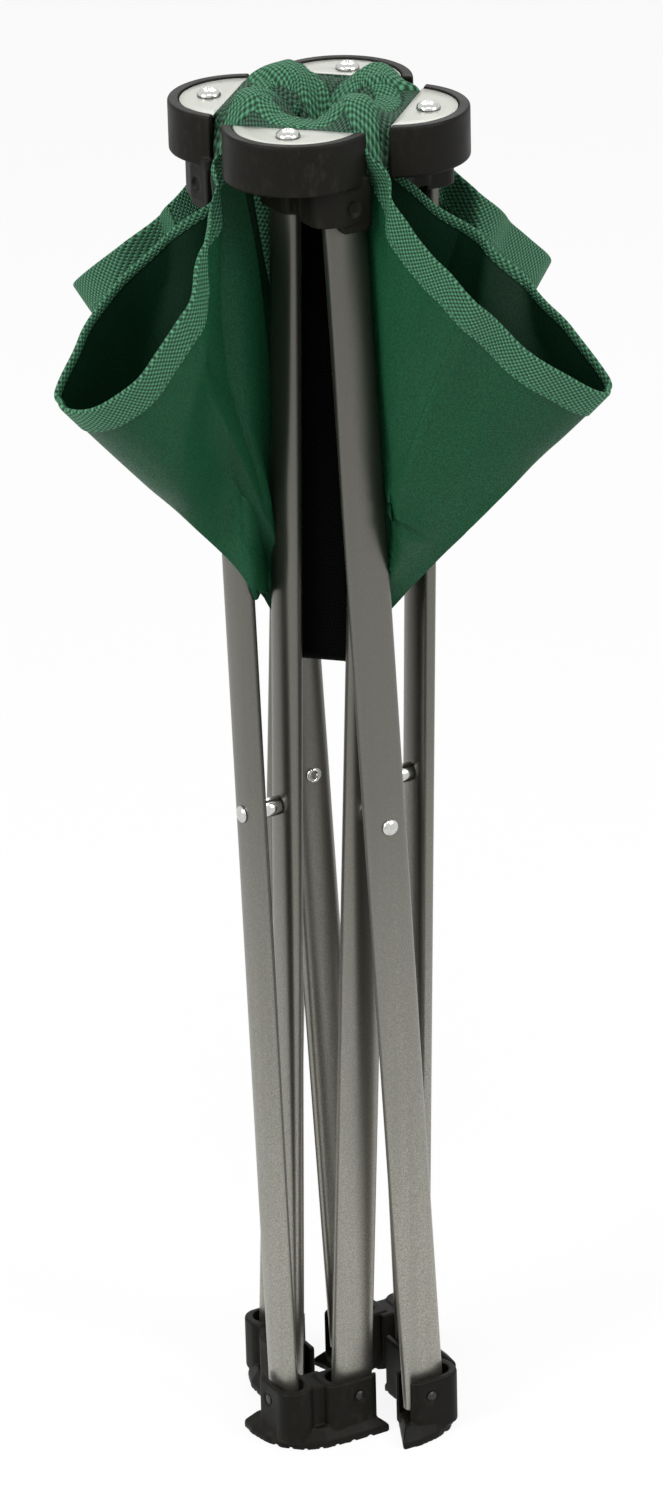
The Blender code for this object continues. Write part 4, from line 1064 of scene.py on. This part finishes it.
def panel_grid(side, layer, part, across, down):
    """A lobe panel's middle surface in side 0's frame, its outward normals and flat metres.

    Near a crease the surface is drawn to the crease's own line, and its normal turns to point
    out of the fold.
    """
    points, held, along, normal = panel_points(side, layer, part, across, down)
    for column, edge in ((0, 0), (-1, 1))[:1 if part == "inner" else 2]:
        shift = crease_line(side, layer, part, edge, down) - points[:, column]
        near = 1 - smooth_step(np.abs(along - along[:, column][:, None]), 0.0, CREASE_DRAW)
        points = points + near[..., None] * shift[:, None]
    ring, wall, lower = wall_rays(side, layer)
    normals = grid_normals(points)
    normals *= np.sign((normals @ normal).mean())
    tips = {0 if part == "inner" else -1: (square_to(wall, lower), square_to(wall, ring))}
    if part == "outer":
        tips[0] = square_to(lower, wall), square_to(lower, wall_rays(side, -layer)[1])
    for column, (one, other) in tips.items():
        open_share = (1 - held[:, column])[:, None]
        normals[:, column] = (1 - open_share) * normals[:, column] - open_share * unit(one + other)
    normals /= np.linalg.norm(normals, axis=-1, keepdims=True)
    uv = np.stack(np.broadcast_arrays(along + 0.5 * side, down[:, None]), -1)
    return points, normals, uv


def hem_rows():
    """Distances from the hem of a panel's rows: close at the rounded hem and the tape's edge."""
    wide = sizes().tape_wide
    edge = np.array((0, 0.0001, 0.00025, 0.00045, 0.0007, 0.001, 0.0015))
    tape = np.linspace(0.0023, wide - 0.0006, 13)
    step = wide + np.array((-0.00015, 0.00015, 0.0008, 0.0018))
    body = wide + 0.0018 + (MIDDLE_RAY - wide - 0.0098) * np.linspace(0, 1, 50)[1:]
    return np.concatenate([edge, tape, step, body])


def panel_piece(name, side, layer, part):
    """One panel of a lobe as a closed sheet: thin cloth, and a taped hem with a round edge."""
    s = sizes()
    even = np.linspace(0, 1, 65)
    across = 0.2 * even + 0.8 * (1 - np.cos(math.pi * even)) / 2    # closer at both edges
    down = hem_rows()
    points, normals, uv = panel_grid(side, layer, part, across, down)
    round_edge = np.sqrt(np.clip(1 - (1 - np.clip(down / MM, 0, 1)) ** 2, 0.02, 1))
    near_hub = 1 - 0.45 * smooth_step(points[..., 2], 0.478, 0.496)
    faces, tapes = [], []
    for sign, wide in ((1, s.tape_wide), (-1, RIM_BEAD)):
        taped = 1 - smooth_step(down, wide - 0.0002, wide + 0.0002)
        half = (s.cloth + (s.tape - s.cloth) * taped) / 2 * round_edge
        faces.append(quarter(points + sign * normals * (half[:, None] * near_hub)[..., None], side))
        tapes.append((down[:-1] < wide).astype(int))
    # Below the tape's narrow bead the inside faces take the darkened satin, painted shade inside the lobes
    tapes[1] = np.where(tapes[1] == 1, 1, 2)
    return shell(name, *faces, uv, ("satin", "tape", "lining"), [*tapes, tapes[0]])


class STOOL_OT_lobes(bpy.types.Operator):
    """Make the four folded lobes of the seat, each of four hinged panels"""

    bl_idname = "stool.lobes"
    bl_label = "Seat lobes"

    def execute(self, context):
        for side, (layer, letter), part in itertools.product(
                range(4), ((-1, "a"), (1, "b")), ("inner", "outer")):
            key = f"{part}_{letter}_{side}"
            made = panel_piece(f"lobe_{key}", side, layer, part)
            place(made, f"wall_{key}", "cloth", f"seat_{key}")
            _, _, normal, low, high = panel_plane(side, layer, part)
            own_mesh(made)
        return {"FINISHED"}


def trough_grid(lift, half_top, columns):
    """Middle surface of corner 0's cloth in its trough, or of the strap outside it.

    A flat point lies on the plane from the seat's middle to the clamped chord and is pushed
    inwards along that plane's normal, until it reaches the trough's floor or the line that
    the tubes leave between them. lift moves the surface outwards.
    """
    way = unit(np.array((CHORD_U, 0, CLAMP_Z - SEAT_Z)))
    normal = np.array((way[2], 0, -way[0]))
    t = np.linspace(0.012, 1, 90)[:, None]
    v = half_top * np.linspace(-1, 1, columns)[None, :] * np.minimum(1, t)
    length = CORNER_RAY * t
    flat = np.stack(np.broadcast_arrays(way[0] * length, v, SEAT_Z + way[2] * length), -1)
    steps = np.linspace(0, -0.026, 131)
    tried = flat[..., None, :] + steps[:, None] * normal
    u, across, z = tried[..., 0], tried[..., 1], tried[..., 2]
    # The floor, which runs out from 11.2 mm to the chord at the hub's ledge, then both walls,
    # which leave the tubes' lines by a gap that widens there
    error = 0.0112 + 0.0208 * smooth_step(z, 0.5070, 0.5200) ** 1.2 + lift - u
    for sign in (1, -1):
        r, y = (u + sign * across) / math.sqrt(2), (sign * across - u) / math.sqrt(2)
        gap = 0.0012 + lift * 0.5 + 0.0055 * smooth_step(z, 0.505, 0.5175)
        error = np.maximum(error, y - (sign * squeeze_line(r, z) - gap))
    depth = nearest_root(error, steps, np.zeros(error.shape[:-1]))
    depth = np.where(error[..., 0] > 0, 0, depth)
    uv = np.stack(np.broadcast_arrays(v + 0.2, length), -1)
    return flat + depth[..., None] * normal, uv, normal


def run_lengths(line):
    """Distances along a line of points, from its first one."""
    return np.concatenate([[0], np.cumsum(np.linalg.norm(np.diff(line, axis=0), axis=-1))])


def strap_grid(lift, half, columns):
    """Middle surface of corner 0's strap: down the trough at full width, then under the middle.

    Below the hub the strap keeps its width, and follows the trough's floor line in (u, z): a
    straight run, a quarter turn and a run in to the axis, where it is mitred to its neighbours.
    """
    points, _, normal = trough_grid(lift, half, columns)
    top = points[points[:, columns // 2, 2] > 0.470][::-1]
    start, high = top[-1], top[-1, columns // 2, 2]
    v = half * np.linspace(-1, 1, columns)[None, :]
    bend = 0.0045       # radius of the turn in under the seat's middle
    turn = np.linspace(0, math.pi / 2, 9)[1:]
    run_z = high + (STRAP_LOW + bend - high) * np.linspace(0, 1, 60)[1:]
    sway = 0.0006 * np.sin(55 * run_z)
    u = np.concatenate([STRAP_LINE + sway, STRAP_LINE + sway[-1] - bend * (1 - np.cos(turn)),
                        np.linspace(STRAP_LINE - bend, 0.0, 6)[1:]])
    z = np.concatenate([run_z, STRAP_LOW + bend * (1 - np.sin(turn)), np.full(5, STRAP_LOW)])
    mitre = np.where(z < STRAP_LOW + 0.0002, np.minimum(1, (u + 0.0004) / half), 1.0)
    across = v * mitre[:, None]
    cup = 0.0010 * (across / half) ** 2 * (z > STRAP_LOW + bend)[:, None]
    low = np.stack(np.broadcast_arrays(u[:, None] - cup, across, z[:, None]), -1)
    # Over the first rows the run leaves the trough's last row step by step
    join = smooth_step(np.arange(len(u)), 0, 14)[:, None, None]
    shift = start - np.stack(np.broadcast_arrays(STRAP_LINE, v[0], high), -1)
    full = np.concatenate([top, low + (1 - join) * shift[None]])
    length = run_lengths(full[:, columns // 2])
    return full, np.stack(np.broadcast_arrays(v + 0.2, length[:, None]), -1), normal


def trough_piece(name, lift, half_top, thick, finish, columns):
    """A closed sheet in corner 0's trough, and the way square to its flat plane."""
    maker = strap_grid if finish == "webbing" else trough_grid
    points, uv, normal = maker(lift, half_top, columns)
    normals = grid_normals(points)
    normals *= np.sign((normals @ normal).mean())
    faces = [corner_frame(*np.moveaxis(points + sign * thick / 2 * normals, -1, 0))
             for sign in (1, -1)]
    return shell(name, *faces, uv, [finish]), corner_frame(normal[0], 0.0, normal[2])


def gap_angle(phi):
    """Angle between a way at phi off +X and the nearest gap between two hubs."""
    return np.abs((phi + math.pi / 4) % (math.pi / 2) - math.pi / 4)


def ring_height(rho, phi):
    """Height of the bunched cloth between the plates, at a radius and an angle off +X.

    From a deep bowl it rises as a quarter of an ellipse to a crest. At a corner it falls
    gently to the plate's chord; at a gap between two hubs the crest bulges higher, and the
    cloth dives outside it between the hubs. A slow wobble makes each quarter its own.
    """
    off_gap = gap_angle(phi)
    at_gap = 1 - smooth_step(off_gap, math.radians(4), math.radians(34))
    wobble = np.sin(3 * phi + 0.6) + 0.6 * np.sin(7 * phi + 2.0)
    # The crest's radius and height, then the bowl inside it and the fall outside it
    crest = 0.0222 + 0.0030 * at_gap + 0.0008 * wobble
    top = 0.5210 + 0.0062 * at_gap + 0.0006 * wobble
    inward = np.clip((crest - rho) / (crest - 0.0040), 0, 1)
    outward = np.clip((rho - crest) / (ring_edge(phi) - crest), 0, 1)
    beside = 1 - smooth_step(off_gap, math.radians(3), math.radians(15))
    z = top - 0.0300 * (1 - np.sqrt(np.maximum(0, 1 - inward ** 1.9)))
    rest = np.where(rho > 0.0300, 0.5203, 0.5189)
    drop = outward ** 1.6 * (top - rest) * (1 - beside) + beside * 0.0240 * outward ** 2.6
    pleats = 0.0004 * np.sin(34 * phi + 240 * rho) * np.sin(math.pi * np.clip((rho - 0.006) / 0.024, 0, 1))
    return z - drop + pleats


def ring_edge(phi):
    """Radius at which the bunched cloth ends: a plate's chord, or a little way into a gap."""
    return np.minimum(RING_CHORD / np.cos(math.pi / 4 - gap_angle(phi)), RING_REACH)


def ring_piece(name, corner):
    """Corner's share of the bunched cloth, as heights over polar points."""
    phi = (np.linspace(-1, 1, 97)[None, :] * 44.7 - 45 + 90 * corner) * math.pi / 180
    share = np.linspace(0, 1, 61)[:, None]
    rho = RING_HOLE + (ring_edge(phi) - RING_HOLE) * share
    points = np.stack([rho * np.cos(phi), rho * np.sin(phi), ring_height(rho, phi)], -1)
    normals = grid_normals(points)
    normals *= np.sign(normals[..., 2].mean())
    uv = np.stack([rho * (phi - phi.mean()) + 0.3, rho + 0.02], -1)
    # Its finish is the darkened tape, painted shade in the bowl
    return shell(name, points, points - 0.0012 * normals, uv, ["bowl"])


# Tapes folded over the bunched cloth: the gap or corner that each lies at as an angle, the
# line of its middle as (angle off that, radius in mm), its half width at both ends and the
# middle in mm, and its lift
TAPES = (
    (0, 0.0, ((34, 10.0), (20, 17.0), (6, 24.5), (-1, 31.0), (-2, 38.5)), (3.5, 6.4, 4.0), 1.7),
    (1, 90.0, ((24, 9.0), (14, 17.5), (2, 25.5), (-5, 32.0), (-4, 38.8)), (4.5, 8.0, 4.6), 1.9),
    (2, 180.0, ((-38, 9.0), (-14, 16.5), (4, 24.5), (7, 31.0), (2, 38.5)), (4.5, 7.6, 4.6), 1.9),
    (3, -90.0, ((-40, 10.0), (-20, 17.5), (-4, 25.0), (3, 31.5), (0, 39.3)), (3.5, 5.6, 3.4), 1.6),
    (0, -45.0, ((-45, 24.0), (-26, 25.5), (0, 26.0), (24, 25.0), (42, 23.0)), (4.2, 4.4, 4.4), 0.9),
    (3, -135.0, ((-40, 23.0), (-22, 24.5), (0, 24.8), (22, 24.8), (42, 24.5)), (4.4, 4.8, 4.4), 0.9),
    (1, 45.0, ((-42, 22.0), (-22, 24.0), (0, 24.6), (22, 24.4), (40, 23.0)), (4.2, 4.6, 4.4), 0.9),
)


def tape_piece(name, at, line, halves, lift):
    """A tape laid over the bunched cloth, thick, with round edges, and tucked in at both ends.

    Its middle is a smooth curve through the line's points, found from cubic pieces between
    them (Catmull-Rom); each point of it stands on the bunched cloth's height.
    """
    knots = np.array([((at + a) * math.pi / 180, r / 1000) for a, r in line])
    knots = np.stack([knots[:, 1] * np.cos(knots[:, 0]), knots[:, 1] * np.sin(knots[:, 0])], -1)
    padded = np.concatenate([[2 * knots[0] - knots[1]], knots, [2 * knots[-1] - knots[-2]]])
    middle = []
    for k in range(len(knots) - 1):
        a, b, c, d = padded[k:k + 4]
        for x in np.linspace(0, 1, 14, endpoint=k == len(knots) - 2):
            middle.append(0.5 * (2 * b + (c - a) * x + (2 * a - 5 * b + 4 * c - d) * x ** 2
                                 + (3 * b - a - 3 * c + d) * x ** 3))
    middle = np.array(middle)
    way = np.gradient(middle, axis=0)
    way /= np.linalg.norm(way, axis=-1, keepdims=True)
    along = np.linspace(-1, 1, len(middle))
    first, mid, last = (h / 1000 for h in halves)
    half = mid + (np.where(along < 0, first, last) - mid) * along ** 2
    v = np.sin(np.linspace(-1, 1, 25) * math.pi / 2)
    side = np.stack([-way[:, 1], way[:, 0]], -1)
    flat = middle[:, None] + (half[:, None] * v)[..., None] * side[:, None]
    rho, phi = np.linalg.norm(flat, axis=-1), np.arctan2(flat[..., 1], flat[..., 0])
    base = ring_height(np.maximum(rho, RING_HOLE), phi)
    tuck = smooth_step(1 - np.abs(along), 0.0, 0.25)[:, None]
    crown = np.sqrt(np.maximum(0.0, 1 - np.abs(v) ** 5))[None, :]
    wave = 0.15 * np.sin(v * 5.0 + 3 * at)[None, :] * tuck
    top = base + MM * lift * (crown * (0.3 + 0.7 * tuck) + wave) - 0.0004 * (1 - tuck)
    points = np.concatenate([flat, top[..., None]], -1)
    under = np.concatenate([flat, (np.minimum(base, top) - 0.0008)[..., None]], -1)
    uv = np.stack(np.broadcast_arrays(
        run_lengths(middle)[:, None] + at * 0.01, half[:, None] * v + 0.03), -1)
    return shell(name, points, under, uv, ["tape"])


class STOOL_OT_corners(bpy.types.Operator):
    """Make the corner cloths, the ring between the plates and the webbing straps"""

    bl_idname = "stool.corners"
    bl_label = "Corner cloths and straps"

    def execute(self, context):
        s = sizes()
        gore, way = trough_piece("corner_cloth_0", 0.0, CHORD_HALF, s.cloth, "tape", 49)
        strap, _ = trough_piece("corner_strap_0", 0.0019, s.strap_wide / 2, 0.0012, "webbing", 25)
        gores, straps = four(gore), four(strap)
        joined = []
        for k in range(4):
            place(gores[k], f"gore_{k}", "cloth", f"seat_gore_{k}")
            place(straps[k], f"gore_{k}", "webbing", f"seat_strap_{k}")
            for made in (gores[k], straps[k]):
                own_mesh(made)
            joined.append([straps[k], ring_piece(f"corner_ring_{k}", k)])
        for number, (k, *tape) in enumerate(TAPES):
            joined[k].append(tape_piece(f"ring_tape_{number}", *tape))
        for k in range(4):
            for made in joined[k][1:]:
                place(made, f"hub_{k}", "cloth")
                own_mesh(made)
        return {"FINISHED"}
        return {"FINISHED"}


# Stage

def camera_ray(tree):
    """1 for rays that reach the camera straight, by a mirror or through glass, else 0."""
    path = tree.nodes.new("ShaderNodeLightPath")
    total = path.outputs["Is Camera Ray"]
    for name in ("Is Glossy Ray", "Is Transmission Ray"):
        add = tree.nodes.new("ShaderNodeMath")
        add.operation = "MAXIMUM"
        tree.links.new(total, add.inputs[0])
        tree.links.new(path.outputs[name], add.inputs[1])
        total = add.outputs[0]
    return total


def soft_light(name, spot, aim, size, power):
    """A square area lamp at a point, facing another."""
    data = bpy.data.lights.new(name, "AREA")
    data.shape = "SQUARE"
    data.size = size
    data.energy = power
    lamp = link(name, data)
    lamp.location = spot
    lamp.rotation_euler = (Vector(aim) - Vector(spot)).to_track_quat("-Z", "Y").to_euler()


def camera_way(azimuth, elevation):
    """Unit way from the stool to a camera at an azimuth off -Y towards +X, in degrees."""
    a, e = math.radians(azimuth), math.radians(elevation)
    return np.array((math.sin(a) * math.cos(e), -math.cos(a) * math.cos(e), math.sin(e)))


class STOOL_OT_stage(bpy.types.Operator):
    """Make the floor, the lamps, the world and the camera"""

    bl_idname = "stool.stage"
    bl_label = "Stage"

    def execute(self, context):
        scene = context.scene
        scene.view_settings.view_transform = "Standard"
        n = Nodes("floor_pale", colours().floor, 0.9, specular=0.1)
        n.finish(n.shade(1.0))
        share = n.math("MULTIPLY", camera_ray(n.tree), FLOOR_GLOW)
        mix = n.add("MixShader", {0: share, 1: n.shader.outputs[0], 2: n.add("Emission").outputs[0]})
        n.set(n.tree.nodes["Material Output"], {"Surface": mix.outputs[0]})
        points = np.array([(x, y, 0) for x, y in rectangle(-FLOOR, FLOOR, -FLOOR, FLOOR)])
        make_object("floor", points, np.array([[0, 1, 2, 3]]), [n.material], smooth=False)
        scene.world = bpy.data.worlds.new("studio")
        scene.world.use_nodes = True
        tree = scene.world.node_tree
        back = tree.nodes["Background"]
        back.inputs["Color"].default_value = (1, 1, 1, 1)
        level = tree.nodes.new("ShaderNodeMapRange")
        level.inputs["To Min"].default_value = WORLD_LIGHT
        level.inputs["To Max"].default_value = 1.0
        tree.links.new(camera_ray(tree), level.inputs["Value"])
        tree.links.new(level.outputs[0], back.inputs["Strength"])
        middle = np.array((0, 0, 0.30))
        for name, azimuth, elevation, away, size, power in LAMPS:
            soft_light(name, middle + camera_way(azimuth, elevation) * away, middle, size, power)
        self.camera(scene)
        return {"FINISHED"}

    def camera(self, scene):
        """The photograph's camera, rolled about its own line of sight."""
        back = camera_way(AZIMUTH, ELEVATION)
        turn, roll = math.radians(AZIMUTH), math.radians(ROLL)
        right = np.array((math.cos(turn), math.sin(turn), 0))
        up = np.cross(back, right)
        c, s = math.cos(roll), math.sin(roll)
        right, up = c * right + s * up, -s * right + c * up
        data = bpy.data.cameras.new("photo_camera")
        made = link("photo_camera", data)
        matrix = np.eye(4)
        matrix[:3, :3] = np.stack([right, up, back], 1)
        matrix[:3, 3] = np.array((0, 0, CAMERA_AIM)) + back * CAMERA_AWAY
        made.matrix_world = Matrix(matrix.tolist())
        data.sensor_fit = "VERTICAL"
        data.sensor_height = 24.0
        data.lens = FOCAL * data.sensor_height / PHOTO[1]
        data.shift_x = (PHOTO[0] / 2 - CENTRE[0]) / PHOTO[1]
        data.shift_y = (CENTRE[1] - PHOTO[1] / 2) / PHOTO[1]
        data.clip_start = 0.05
        scene.camera = made


OPERATORS = (STOOL_OT_stage, STOOL_OT_tubes, STOOL_OT_fasteners, STOOL_OT_mouldings, STOOL_OT_lobes,
             STOOL_OT_corners)


class STOOL_PT_looks(bpy.types.Panel):
    """Sizes, colours and pieces of the stool"""

    bl_idname = "STOOL_PT_looks"
    bl_label = "Camping stool"
    bl_space_type = "VIEW_3D"
    bl_region_type = "UI"
    bl_category = "Stool"

    def draw(self, context):
        for group in (context.scene.stool_sizes, context.scene.stool_colours):
            for name in group.bl_rna.properties.keys():
                if name not in ("rna_type", "name"):
                    self.layout.prop(group, name)
        for operator in OPERATORS:
            self.layout.operator(operator.bl_idname)


CLASSES = (StoolSizes, StoolColours, *OPERATORS, STOOL_PT_looks)


def register():
    for made in CLASSES:
        bpy.utils.register_class(made)
    bpy.types.Scene.stool_sizes = bpy.props.PointerProperty(type=StoolSizes)
    bpy.types.Scene.stool_colours = bpy.props.PointerProperty(type=StoolColours)


def unregister():
    del bpy.types.Scene.stool_sizes
    del bpy.types.Scene.stool_colours
    for made in reversed(CLASSES):
        bpy.utils.unregister_class(made)


def main():
    register()
    bpy.ops.stool.stage()
    bpy.ops.stool.tubes()
    bpy.ops.stool.fasteners()
    bpy.ops.stool.mouldings()
    bpy.ops.stool.lobes()
    bpy.ops.stool.corners()


if __name__ == "__main__":
    main()
